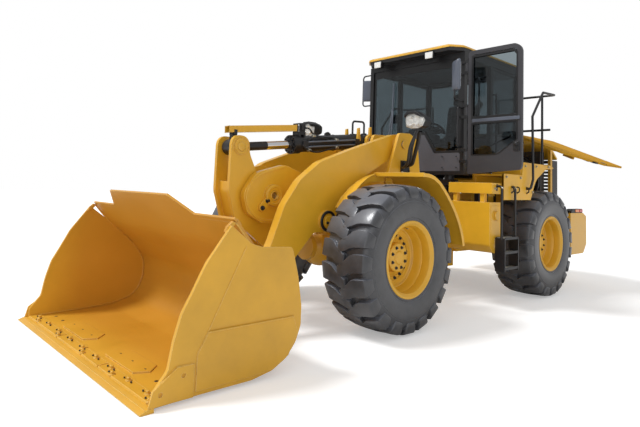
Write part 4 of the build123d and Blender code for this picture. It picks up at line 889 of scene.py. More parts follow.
def make_fenders():
    outer = smoothed(list(FENDER_LINE))
    for side, name in ((1, "left"), (-1, "right")):
        shape = Shape()
        sheet = outer + inset(outer, 9)[::-1]
        shape.plate(sheet, side, 662, 1350)
        lip = outer + inset(outer, 40)[::-1]
        shape.plate(lip, side, 1342, 1356)
        shape.plate([(1448, 1662), (1466, 1662), (1466, 1616), (1448, 1616)], side, 662, 1354)
        wall = [(1462, 1650), (1620, 1612), (1760, 1550), (1890, 1470), (2010, 1370), (2096, 1262), (2050, 1236),
                (1960, 1330), (1840, 1430), (1700, 1505), (1560, 1548), (1300, 1560), (1110, 1480), (1180, 1590),
                (1310, 1646)]
        shape.plate(wall, side, 660, 672)
        line = smoothed([(1470, 1650), (1620, 1612), (1760, 1550), (1890, 1470), (2010, 1370), (2096, 1262)], 1)
        points, faces = [], []
        under = inset(line, -9)
        for i in range(len(line)):
            reach = 690 + 165 * i / (len(line) - 1)
            for (x, z), y in ((line[i], 664), (line[i], reach), (under[i], reach), (under[i], 664)):
                points.append((x, side * y, z))
        for i in range(len(line) - 1):
            for j in range(4):
                k = (j + 1) % 4
                faces.append([4 * i + j, 4 * i + k, 4 * i + 4 + k, 4 * i + 4 + j])
        last = 4 * (len(line) - 1)
        faces += [[0, 3, 2, 1], [last, last + 1, last + 2, last + 3]]
        shape.add(points, faces)
        shape.block(1180, 1300, side * 560, side * 700, 1560, 1610)
        piece = shape.piece(f"fender_{name}", "yellow", "front_frame", bevel=0.003, segments=2)
        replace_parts(piece, "front_fenders")
        heads = [((x, side * 1000, z + 4), (0.25, 0, 1)) for x, z in ((1380, 1655), (1230, 1622))]
        bolts(f"fender_bolts_{name}", heads, "front_frame", "zinc", 0.024)


# ---- cylinders and the bucket positioner ----------------------------------------------------------------
TILT_BASE, TILT_EYE = (950, 0, 2095), (2985, 0, 1860)
LIFT_BASES, LIFT_EYES = (660, 350, 1200), (2110, 350, 1107)
# cross pins, given along and up
ARM_PIN, LEVER_PIN, LEVER_FOOT, BUCKET_PIN = (900, 2030), (2615, 1365), (2313, 698), (3060, 360)
LEVER_EYE, LIFT_FOOT, LIFT_EYE = TILT_EYE[::2], LIFT_BASES[::2], LIFT_EYES[::2]


def on_line(start, end, distance):
    way = (Vector(end) - Vector(start)).normalized()
    return tuple(Vector(start) + way * distance)


def bands(shape, start, end, radius, places, width=26, height=5):
    for place in places:
        shape.turned([(radius - 3, place - width / 2), (radius + height, place - width / 2 + 3),
                      (radius + height, place + width / 2 - 3), (radius - 3, place + width / 2)],
                     start, Vector(end) - Vector(start), 40)


def make_cylinder_trim():
    way = Vector(TILT_EYE) - Vector(TILT_BASE)
    shaft = Shape().turned([(0, 730), (44, 730), (48, 734), (48, 1618), (0, 1618)], TILT_BASE, way, 40)
    chrome = shaft.piece("tilt_rod_shaft", "chrome", "tilt_rod")
    head = Shape().turned([(0, 1612), (48, 1612), (48, 1884), (58, 1892), (64, 1960), (0, 1960)],
                          TILT_BASE, way, 40)
    head.turned([(0, -86), (78, -86), (84, -80), (84, 80), (78, 86), (0, 86)], TILT_EYE, (0, 1, 0), 40)
    head.prism([(2950, 1925), (3020, 1925), (3012, 2030), (2958, 2030)], "y", -26, 26)
    head.prism([(2966, 1990), (3004, 1990), (3004, 2045), (2966, 2045)], "y", -50, 50)
    dark = head.piece("tilt_rod_head", "black", "tilt_rod", bevel=0.003)
    bar = Shape()
    low = [(2140, 2112), (3065, 2005)]
    high = [(2140, 2185), (3065, 2078)]
    bar.prism([low[0], low[1], (3065, 2011), (2140, 2118)], "y", -45, 45)
    bar.prism([(2140, 2179), (3065, 2072), high[1], high[0]], "y", -45, 45)
    for y in (-45, 39):
        bar.prism([low[0], low[1], high[1], high[0]], "y", y, y + 6)
    bar.prism([(2146, 2115), (2156, 2115), (2156, 2180), (2146, 2180)], "y", -42, 42)
    bar.prism([(2940, 2022), (2946, 2022), (2946, 2090), (2940, 2090)], "y", -42, 42)
    box = bar.piece("positioner_bar", "yellow", "tilt_rod", bevel=0.002)
    inside = Shape().prism([(2948, 2024), (2952, 2024), (2952, 2086), (2948, 2086)], "y", -40, 40)
    inside.prism([(2950, 2024), (3056, 2012), (3056, 2014), (2950, 2026)], "y", -38, 38)
    lining = inside.piece("positioner_lining", "black", "tilt_rod")
    for piece in (chrome, dark, box, lining):
        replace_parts(piece, "tilt_cylinder_rod")
    guide = Shape()
    for y in (-62, 50):
        guide.prism([(2030, 2040), (2118, 2032), (2118, 2204), (2060, 2212), (2030, 2190)], "y", y, y + 12)
    guide.prism([(2040, 2204), (2118, 2196), (2118, 2208), (2046, 2216)], "y", -60, 60)
    guide.block(2046, 2100, -62, 62, 2040, 2078)
    guide.block(2050, 2096, 60, 92, 2120, 2196)
    guide.block(1990, 2030, -30, 30, 2050, 2112)
    guide.piece("positioner_guide", "black", "tilt_barrel", bevel=0.004)
    trim = Shape()
    bands(trim, TILT_BASE, TILT_EYE, 96, (130, 560, 980))
    trim.turned([(50, 1262), (66, 1264), (70, 1270), (70, 1284), (50, 1290)], TILT_BASE, way, 40)
    for distance in (240, 1120):
        x, y, z = on_line(TILT_BASE, TILT_EYE, distance)
        trim.block(x - 40, x + 40, 60, 128, z - 34, z + 34)
        trim.block(x - 40, x + 40, -128, -60, z - 34, z + 34)
    trim.piece("tilt_barrel_bands", "black", "tilt_barrel", bevel=0.003)
    axis = way.normalized()
    up = Vector((0, 1, 0)).cross(axis).normalized()
    heads = []
    for i in range(12):
        angle = math.tau * (i + 0.5) / 12
        ray = up * math.cos(angle) + Vector((0, 1, 0)) * math.sin(angle)
        heads.append((tuple(Vector(TILT_BASE) + axis * 1266 + ray * 90), tuple(axis)))
    bolts("tilt_gland_bolts", heads, "tilt_barrel", "black", 0.022, washer=False)
    lines = []
    for y, z in ((104, 18), (-104, 18), (92, -40)):
        start = on_line(TILT_BASE, TILT_EYE, 250)
        end = on_line(TILT_BASE, TILT_EYE, 1090)
        lines.append([(start[0], y, start[2] + z), (start[0] + 60, y + (26 if y > 0 else -26), start[2] + z - 8),
                      (end[0] - 60, y + (26 if y > 0 else -26), end[2] + z + 8), (end[0], y, end[2] + z)])
    runs("tilt_pipes", lines, 0.011, "tilt_barrel", "wiper", bend=0.04)
    lines = [[(2010, 96, 2010), (1930, 128, 2052), (1780, 122, 2052), (1640, 118, 2030), (1500, 118, 2050)],
             [(2060, 92, 2150), (2010, 112, 2148), (1950, 108, 2100), (1820, 100, 2070), (1600, 96, 2078)],
             [(2110, 112, 1950), (2020, 140, 1890), (1880, 136, 1882), (1720, 126, 1920), (1560, 120, 1960)]]
    runs("tilt_hoses", lines, 0.010, "tilt_barrel", "hose")
    fittings = Shape()
    for x, y, z in ((1940, 118, 2066), (1560, 120, 2052), (1560, 122, 1962), (2016, 128, 1894)):
        fittings.turned([(0, -26), (17, -26), (20, -22), (20, 18), (14, 26), (0, 26)], (x, y, z), (1, 0.1, 0.1), 12)
    fittings.piece("tilt_fittings", "zinc", "tilt_barrel")
    for side in (1, -1):
        base, eye = ((x, side * y, z) for x, y, z in (LIFT_BASES, LIFT_EYES))
        shape = Shape()
        bands(shape, base, eye, 75, (150, 600, 1000))
        shape.turned([(44, 1132), (58, 1134), (60, 1150), (44, 1154)], base, Vector(eye) - Vector(base), 32)
        shape.piece(f"lift_bands_{side + 1}", "black", "lift_barrels", bevel=0.002)
        lines = [[on_line(base, eye, 180), tuple(Vector(on_line(base, eye, 220)) + Vector((0, side * 92, 20))),
                  tuple(Vector(on_line(base, eye, 1010)) + Vector((0, side * 92, 20))), on_line(base, eye, 1040)]]
        runs(f"lift_pipes_{side + 1}", lines, 0.011, "lift_barrels", "wiper", bend=0.04)


# ---- headlamps ------------------------------------------------------------------------------------------
LAMP_FRONT = [(-128, -12), (-96, -78), (-40, -104), (60, -104), (112, -84), (122, -20), (118, 62), (84, 96),
              (-20, 96), (-92, 60)]


def lamp_loop(x, scale, middle_y, middle_z, side, lift=0.0):
    return [(x, middle_y - side * y * scale, middle_z + z * scale + lift) for y, z in LAMP_FRONT]


def loft(shape, loops):
    """Skin over loops of the same number of points, closed at both ends."""
    total = len(loops[0])
    faces = [list(range(total))[::-1], [total * (len(loops) - 1) + i for i in range(total)]]
    for k in range(len(loops) - 1):
        for i in range(total):
            j = (i + 1) % total
            faces.append([total * k + i, total * k + j, total * k + total + j, total * k + total + i])
    return shape.add([point for loop in loops for point in loop], faces)


def make_headlamps():
    for side, name in ((1, "left"), (-1, "right")):
        y, z = side * 950, 2300
        shell = loft(Shape(), [lamp_loop(x, s, y, z, side, lift) for x, s, lift in (
            (858, 0.42, 6), (872, 0.60, 5), (920, 0.80, 2), (990, 0.94, 0), (1040, 0.98, 0), (1060, 0.98, 0))])
        body = shell.piece(f"lamp_shell_{name}", "plastic", "front_frame", bevel=0.004)
        lid = Shape()
        top = [(-110, 40), (-30, 96), (84, 98), (124, 60), (124, 30), (84, 60), (-20, 62), (-104, 22)]
        lid.prism([(y - side * a, z + b) for a, b in top], "x", 1010, 1152)
        rim_out = [(y - side * a, z + b) for a, b in LAMP_FRONT]
        rim_in = [(y - side * a * 0.9, z + b * 0.88) for a, b in LAMP_FRONT]
        lid.frame_of(rim_out, rim_in, "x", 1052, 1066)
        eyelid = lid.piece(f"lamp_eyelid_{name}", "black", "front_frame", bevel=0.003)
        mirror = Shape()
        for offset, radius in ((-42, 46), (54, 52)):
            mirror.turned([(0, -40), (radius * 0.5, -34), (radius, 0), (radius + 5, 0), (radius + 5, -46), (0, -50)],
                          (1118, y - side * offset, z - 12), (1, 0, 0), 28)
        mirror.prism([(y - side * a * 0.92, z + b * 0.9) for a, b in LAMP_FRONT], "x", 1056, 1084)
        bowl = mirror.piece(f"lamp_reflector_{name}", "reflector", "front_frame")
        face = [lamp_loop(x, s, y, z, side) for x, s in (
            (1062, 0.97), (1100, 0.98), (1124, 0.95), (1140, 0.84), (1148, 0.6), (1150, 0.3))]
        lens = loft(Shape(), face).piece(f"lamp_lens_{name}", "lens", "front_frame", limit=60)
        for piece in (body, eyelid, bowl, lens):
            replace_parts(piece, "headlamps")
        bracket = [[(880, side * 655, 1790), (930, side * 700, 1770), (980, side * 800, 1830),
                    (1005, side * 850, 2000), (1000, side * 905, 2190)],
                   [(930, side * 655, 1760), (985, side * 705, 1740), (1035, side * 805, 1800),
                    (1060, side * 860, 1990), (1045, side * 960, 2195)]]
        runs(f"lamp_stalk_{name}", bracket, 0.016, "front_frame", "black")
        bolts(f"lamp_bolts_{name}", [((x, side * 661, w), (0, side, 0)) for x in (822, 940) for w in (1706, 1812)],
              "front_frame", "black", 0.022)


# ---- cab -----------------------------------------------------------------------------------------------
def make_cab_trim():
    seal = Shape()
    for y in (-790, 742):
        seal.prism([(y, 2000), (y + 48, 2000), (y + 48, 3310), (y, 3310)], "x", -158, -149)
    seal.prism([(-790, 3200), (790, 3200), (790, 3312), (-790, 3312)], "x", -158, -148)
    seal.prism([(-790, 1992), (-372, 1992), (-206, 2264), (206, 2264), (372, 1992), (790, 1992), (790, 2034),
                (392, 2034), (222, 2306), (-222, 2306), (-392, 2034), (-790, 2034)], "x", -158, -148)
    for side in (1, -1):
        outer = [(-1645, 2296), (-896, 2296), (-896, 3314), (-1645, 3314)]
        inner = [(-1605, 2336), (-936, 2336), (-936, 3274), (-1605, 3274)]
        seal.frame_of(outer, inner, "y", side * 826, side * 834)
    seal.frame_of([(-842, 1996), (-208, 1996), (-208, 3314), (-842, 3314)],
                  [(-806, 2032), (-244, 2032), (-244, 3278), (-806, 3278)], "y", -834, -826)
    seal.frame_of([(-790, 2346), (790, 2346), (790, 3314), (-790, 3314)],
                  [(-752, 2386), (752, 2386), (752, 3276), (-752, 3276)], "x", -1680, -1672)
    for y in (-812, 812):
        seal.block(-139, -128, y - 30, y + 30, 1985, 3330)
    seal.piece("screen_seals", "seal", "rear_frame", bevel=0.002)
    wiper = [[(-140, -470, 2030), (-122, -474, 2045), (-118, -440, 2300), (-126, -392, 2700)],
             [(-140, -410, 2050), (-122, -412, 2065), (-118, -396, 2300), (-124, -376, 2660)]]
    runs("wiper_arms", wiper, 0.008, "rear_frame", "wiper", bend=0.03, sides=8)
    blade = Shape().prism([(-398, 2380), (-386, 2380), (-366, 3100), (-378, 3100)], "x", -140, -118)
    blade.turned([(0, 0), (34, 0), (34, 16), (24, 24), (0, 24)], (-146, -442, 2046), (1, 0, 0), 20)
    blade.turned([(0, 0), (16, 0), (16, 14), (0, 14)], (-132, -384, 2690), (1, 0, 0), 16)
    blade.piece("wiper_blade", "wiper", "rear_frame", bevel=0.002)
    lamps, lenses, hoods = Shape(), Shape(), Shape()
    for y in (-540, 400):
        hoods.prism([(y - 66, 3318), (y + 66, 3318), (y + 70, 3418), (y - 70, 3418)], "x", 0, 66)
        lamps.prism([(y - 60, 3322), (y + 60, 3322), (y + 64, 3412), (y - 64, 3412)], "x", 66, 73)
        lenses.prism([(y - 57, 3326), (y + 57, 3326), (y + 60, 3408), (y - 60, 3408)], "x", 73, 78)
    for y in (-560, 560):
        hoods.prism([(y - 60, 3297), (y + 60, 3297), (y + 60, 3374), (y - 60, 3374)], "x", -1765, -1722)
        lamps.prism([(y - 54, 3302), (y + 54, 3302), (y + 54, 3368), (y - 54, 3368)], "x", -1771, -1765)
        lenses.prism([(y - 52, 3304), (y + 52, 3304), (y + 52, 3366), (y - 52, 3366)], "x", -1776, -1771)
    for y in (-540, 400):
        hoods.block(-40, 20, y - 18, y + 18, 3372, 3396)
    for side in (1, -1):
        hoods.block(-1755, -1735, side * 545, side * 575, 3370, 3392)
        hoods.plate([(-3080, 1180), (-3080, 1210), (-3150, 1250), (-3560, 1250), (-3560, 1180)], side, 1010, 1110)
    for piece in (hoods.piece("work_lamp_hoods", "black", "rear_frame", bevel=0.006),
                  lamps.piece("work_lamp_bowls", "reflector", "rear_frame", bevel=0.003),
                  lenses.piece("work_lamp_lenses", "reflector", "rear_frame", bevel=0.002)):
        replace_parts(piece, "work_lamps")
    tail = Shape()
    turn = Shape()
    for side in (1, -1):
        tail.block(-3550, -3410, side * 1106, side * 1118, 1192, 1240)
        tail.block(-3566, -3558, side * 1018, side * 1100, 1192, 1240)
        turn.block(-3390, -3240, side * 1106, side * 1118, 1192, 1240)
    tail.piece("tail_lenses", "lens_red", "rear_frame", bevel=0.004)
    turn.piece("turn_lenses", "lens_amber", "rear_frame", bevel=0.004)
    backs, faces_ = Shape(), Shape()
    for (x, y, z), half, tall, turn in (((150, 895, 3005), 98, 205, 36), ((-172, -948, 3045), 72, 170, -28)):
        angle = math.radians(turn)
        along_, out = Vector((math.sin(angle), math.cos(angle), 0)), Vector((math.cos(angle), -math.sin(angle), 0))
        corners = [(-1, -0.86), (-0.86, -1), (0.86, -1), (1, -0.86), (1, 0.86), (0.86, 1), (-0.86, 1), (-1, 0.86)]
        middle = Vector((x, y, z))

        def sheet(size, depth):
            return [tuple(middle + along_ * (a * half * size) + Vector((0, 0, b * tall * size)) + out * depth)
                    for a, b in corners]

        loft(backs, [sheet(0.97, -26), sheet(1.0, -20), sheet(1.0, 4), sheet(0.9, 22), sheet(0.6, 30)])
        loft(faces_, [sheet(0.92, -29), sheet(0.92, -25)])
    tubes = [[(-130, 820, 2700), (60, 820, 2700), (150, 872, 2700), (150, 880, 2860)],
             [(-170, -850, 3290), (-170, -1040, 3290), (-170, -1040, 2800), (-170, -850, 2800)],
             [(-170, -1040, 3160), (-170, -960, 3160)], [(-170, -1040, 2940), (-170, -960, 2940)]]
    for piece in (backs.piece("mirror_backs", "blind", "rear_frame", bevel=0.004),
                  faces_.piece("mirror_faces", "chrome", "rear_frame", bevel=0.001),
                  runs("mirror_arms", tubes, 0.0115, "rear_frame", "black", bend=0.05)):
        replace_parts(piece, "mirrors")
    roof = Shape()
    for y in (-560, 560):
        for x in (-1500, -300):
            roof.turned([(0, 0), (20, 0), (22, 4), (16, 9), (0, 10)], (x, y, 3489), (0, 0, 1), 20)
    plan = [(-1786, 858), (-1786, -858), (-118, -858), (56, -724), (56, 724), (-118, 858)]

    def ring_at(size, z):
        return [(-865 + (x + 865) * size[0], y * size[1], z) for x, y in plan]

    cap = loft(Shape(), [ring_at((0.985, 0.985), 3442), ring_at((1.0, 1.0), 3448), ring_at((1.0, 1.0), 3464),
                         ring_at((0.98, 0.96), 3482), ring_at((0.94, 0.90), 3494), ring_at((0.90, 0.84), 3499)])
    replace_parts(cap.piece("roof_cap", "yellow", "rear_frame", "paint_yellow", bevel=0.004), "cab_roof")
    tray = loft(Shape(), [ring_at((0.955, 0.93), 3386), ring_at((0.985, 0.975), 3396), ring_at((0.99, 0.985), 3446)])
    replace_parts(tray.piece("roof_tray", "black", "rear_frame", "paint_black", bevel=0.006), "cab_roof")
    gutter = [(-1786, 862), (-1786, -862), (-100, -862), (58, -730), (58, 730), (-100, 862)]
    inner = [(-1774, 850), (-1774, -850), (-106, -850), (46, -722), (46, 722), (-106, 850)]
    roof.frame_of(gutter, inner, "z", 3440, 3450)
    roof.piece("roof_panel", "yellow", "rear_frame", bevel=0.003)
    liner = Shape()
    liner.block(-1690, -145, -780, 780, 3372, 3388)
    liner.block(-700, -240, -300, 300, 3340, 3376)
    for y in (-200, 0, 200):
        liner.block(-242, -234, y - 60, y + 60, 3345, 3370)
    liner.piece("roof_liner", "grey", "rear_frame", bevel=0.006)
    door = Shape()
    for loop in ([(980, 2450), (1610, 2450), (1610, 3240), (1570, 3290), (980, 3290)],
                 [(980, 1960), (1310, 1960), (1360, 1975), (1610, 2150), (1610, 2380), (980, 2380)]):
        middle = (sum(p[0] for p in loop) / len(loop), sum(p[1] for p in loop) / len(loop))
        outer = [(middle[0] + (y - middle[0]) * 1.03, middle[1] + (z - middle[1]) * 1.03) for y, z in loop]
        inner = [(middle[0] + (y - middle[0]) * 0.95, middle[1] + (z - middle[1]) * 0.95) for y, z in loop]
        for low, high in ((-111, -107), (-153, -149)):
            door.frame_of(outer, inner, "x", low, high)
    door.piece("door_seals", "seal", "cab_door", bevel=0.001)
    fittings = Shape()
    fittings.prism([(990, 2396), (1640, 2396), (1648, 2420), (1640, 2440), (990, 2440)], "x", -110, -98)
    fittings.piece("door_bar", "blind", "cab_door", "paint_grey", bevel=0.004)
    latch = Shape()
    latch.prism([(1560, 2010), (1640, 2010), (1640, 2120), (1560, 2120)], "x", -110, -96)
    latch.turned([(0, 0), (22, 0), (22, 14), (14, 18), (0, 18)], (-98, 1600, 2086), (1, 0, 0), 20)
    latch.piece("door_latch", "black", "cab_door", bevel=0.003)
    grab = [[(-152, 1030, 2300), (-205, 1030, 2300), (-205, 1030, 3000), (-152, 1030, 3000)],
            [(-152, 1100, 2050), (-196, 1100, 2050), (-196, 1500, 2200), (-152, 1500, 2200)]]
    runs("door_grabs", grab, 0.013, "cab_door", "black", bend=0.03)
    grab = [[(-128, 790, 2080), (-70, 790, 2080), (-70, 790, 2620), (-128, 790, 2620)],
            [(-905, 852, 2050), (-905, 905, 2050), (-905, 905, 2900), (-905, 852, 2900)]]
    runs("cab_grabs", grab, 0.014, "rear_frame", "black", bend=0.03)
    heads = [((-125, y, z), (1, 0, 0)) for y in (-740, -520, 520, 740) for z in (1800, 1950)]
    heads += [((-1702, y, z), (-1, 0, 0)) for y in (-700, 700) for z in (1850, 2250)]
    heads += [((x, side * 851, 1708), (0, side, 0)) for x in (-300, -700, -1100, -1500) for side in (1, -1)]
    bolts("cab_bolts", heads, "rear_frame", "black", 0.02, washer=False)


# ---- seat and controls -----------------------------------------------------------------------------------
def pillow(name, corner, wide, deep, thick, crown, seams, across_seams=(), steps=36, finish="cloth", bow=0.0):
    """Crowned cushion on a frame given by its middle and three directions; seams are sewn channels."""
    middle, (u, v, n) = corner
    u, v, n = Vector(u), Vector(v), Vector(n)
    points, faces = [], []
    index = {}

    def place(i, j, level):
        s, t = 2 * i / steps - 1, 2 * j / steps - 1
        rounding = 1 - 0.055 * (s * s) * (t * t) * 2
        pull = 1 - 0.02 * (math.cos(s * math.pi) + 1) * (t * t) - 0.02 * (math.cos(t * math.pi) + 1) * (s * s)
        shut = max(0.0, (1 - abs(s) ** 7) * (1 - abs(t) ** 7)) ** 0.42
        puff = (1 - 0.55 * s * s) * (1 - 0.55 * t * t)
        height = thick * shut + crown * puff * shut
        for seam in seams:
            height -= thick * 0.34 * math.exp(-((s - seam) / 0.035) ** 2) * shut
        for seam in across_seams:
            height -= thick * 0.34 * math.exp(-((t - seam) / 0.04) ** 2) * shut
        lift = height if level > 0 else -thick * 0.9 * shut
        curve = bow * t * t
        reach = rounding * pull
        return Vector(middle) + u * (s * wide * reach) + v * (t * deep * reach) + n * (lift + curve)

    for level in (1, -1):
        for i in range(steps + 1):
            for j in range(steps + 1):
                rim = i in (0, steps) or j in (0, steps)
                key = (i, j, 0 if rim else level)
                if key not in index:
                    index[key] = len(points)
                    points.append(tuple(place(i, j, level)))
        for i in range(steps):
            for j in range(steps):
                loop = []
                for a, b in ((i, j), (i + 1, j), (i + 1, j + 1), (i, j + 1)):
                    rim = a in (0, steps) or b in (0, steps)
                    loop.append(index[(a, b, 0 if rim else level)])
                faces.append(loop if level > 0 else loop[::-1])
    shape = Shape().add(points, faces)
    piece = shape.piece(name, finish, "rear_frame", "seat_fabric", limit=70, subdivide=1)
    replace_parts(piece, "seat")
    welt = []
    count_ = 4 * steps
    for k in range(count_ + 1):
        side_, step = divmod(k % count_, steps)
        i, j = ((step, 0), (steps, step), (steps - step, steps), (0, steps - step))[side_]
        welt.append(tuple(place(i, j, 1)))
    cord = runs(name + "_welt", [welt[::2]], 0.005, "rear_frame", "seal", sides=6)
    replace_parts(cord, "seat")
    return piece


def make_seat():
    lean = Vector((-80, 0, 660)).normalized()
    front = Vector((0, 1, 0)).cross(lean)
    pillow("seat_cushion", ((-1112, 0, 2196), ((0, 1, 0), (1, 0, 0), (0, 0, 1))), 250, 212, 40, 22,
           (-0.62, 0.62), (-0.45, 0.1, 0.6))
    pillow("seat_back", ((-1360, 0, 2560), ((0, 1, 0), tuple(lean), tuple(front))), 232, 335, 36, 20,
           (-0.6, 0.6), (-0.5, 0.0, 0.5))
    pillow("head_rest", ((-1402, 0, 2980), ((0, 1, 0), tuple(lean), tuple(front))), 126, 100, 26, 12, (), (), 24)
    base = Shape()
    base.block(-1300, -950, -190, 190, 1750, 1786)
    base.block(-1290, -960, -180, 180, 1786, 1830)
    for side in (1, -1):
        base.block(-1290, -960, side * 196, side * 214, 1752, 1774)
    for i in range(8):
        low = 1830 + i * 36
        base.prism([(-1268, -148), (-982, -148), (-982, 148), (-1268, 148)], "z", low + 3, low + 33)
        base.prism([(-1254, -134), (-996, -134), (-996, 134), (-1254, 134)], "z", low - 2, low + 38)
    base.block(-1330, -910, -238, 238, 2112, 2158)
    base.prism([(-1432, 2170), (-1400, 2170), (-1392, 2250), (-1440, 2880), (-1452, 2880)], "y", -215, 215)
    for side in (1, -1):
        base.block(-1404, -1340, side * 214, side * 236, 2150, 2330)
        base.block(-1012, -936, side * 238, side * 262, 2118, 2146)
    frame_piece = base.piece("seat_frame", "plastic", "rear_frame", bevel=0.006)
    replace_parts(frame_piece, "seat")
    for side, label in ((1, "left"), (-1, "right")):
        pillow(f"arm_pad_{label}", ((-1190, side * 268, 2470), ((0, 1, 0), (1, 0, 0), (0, 0, 1))), 36, 170, 18,
               8, (), (), 16)
        arm_bar = Shape().plate([(-1395, 2420), (-1365, 2420), (-1040, 2446), (-1040, 2460), (-1365, 2460)],
                        side, 254, 282)
        rest = arm_bar.piece(f"arm_bar_{label}", "plastic", "rear_frame", bevel=0.004)
        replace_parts(rest, "seat")
    posts = [[(-1405, y, 2860), (-1412, y, 2940)] for y in (-50, 50)]
    stays = runs("head_posts", posts, 0.007, "rear_frame", "chrome", sides=8)
    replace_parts(stays, "seat")
    belt = Shape().prism([(-1330, 2262), (-1080, 2282), (-1080, 2286), (-1330, 2266)], "y", 60, 108)
    belt.block(-1110, -1060, 58, 110, 2280, 2300)
    belt.piece("seat_belt", "seal", "rear_frame", "seat_fabric", bevel=0.001)
    controls = Shape()
    for x in (-800, -880):
        controls.turned([(0, -26), (18, -24), (26, 0), (20, 26), (0, 32)], (x + 22, -480, 2556), (0.1, 0, 1), 20)
        controls.turned([(46, 0), (46, 8), (34, 14), (30, 26), (22, 30), (18, 44), (0, 44)][::-1],
                        (x, -480, 2416), (0, 0, 1), 20)
    for i in range(3):
        for j in range(4):
            controls.block(-1120 - i * 60, -1080 - i * 60, -560 + j * 46, -528 + j * 46, 2402, 2414)
    controls.block(-700, -690, -590, -380, 2010, 2300)
    controls.piece("controls", "plastic", "rear_frame", bevel=0.004)
    dash = Shape()
    dash.prism([(-440, 2190), (-250, 2190), (-230, 2330), (-270, 2380), (-420, 2300)], "y", -170, 170)
    for y in (-60, 60):
        dash.block(-470, -455, y * 2.2 - 46, y * 2.2 + 46, 1762, 1900)
    dash.piece("dash", "plastic", "rear_frame", bevel=0.01)
    face = Shape().prism([(-424, 2218), (-418, 2216), (-414, 2292), (-420, 2294)], "y", -120, 120)
    face.block(-330, -316, -560, -380, 2500, 2640)
    face.piece("screen_faces", "screen", "rear_frame", bevel=0.002)
    stalk = [[(-316, -600, 2400), (-320, -560, 2480), (-322, -470, 2540)],
             [(-560, 30, 2390), (-540, 120, 2400), (-530, 190, 2412)]]
    runs("stalks", stalk, 0.009, "rear_frame", "plastic", sides=8)
    grip = Shape()
    tilt = Vector((-230, 0, 650)).normalized()
    grip.turned([(174, 0), (178, 12), (190, 17), (202, 12), (206, 0), (202, -12), (190, -17), (178, -12)],
                (-570, 0, 2430), tilt, 56)
    grip.turned([(0, 30), (46, 26), (60, 12), (52, -18), (0, -18)], (-570, 0, 2430), tilt, 32)
    grip.turned([(0, 0), (18, 0), (22, 20), (18, 44), (0, 50)], (-622, -160, 2424), tilt, 20)
    grip.piece("wheel_grip", "plastic", "rear_frame", limit=50)


# ---- bucket ----------------------------------------------------------------------------------------------
def floor_z(x):
    return 30 + (4440 - x) * 0.0275


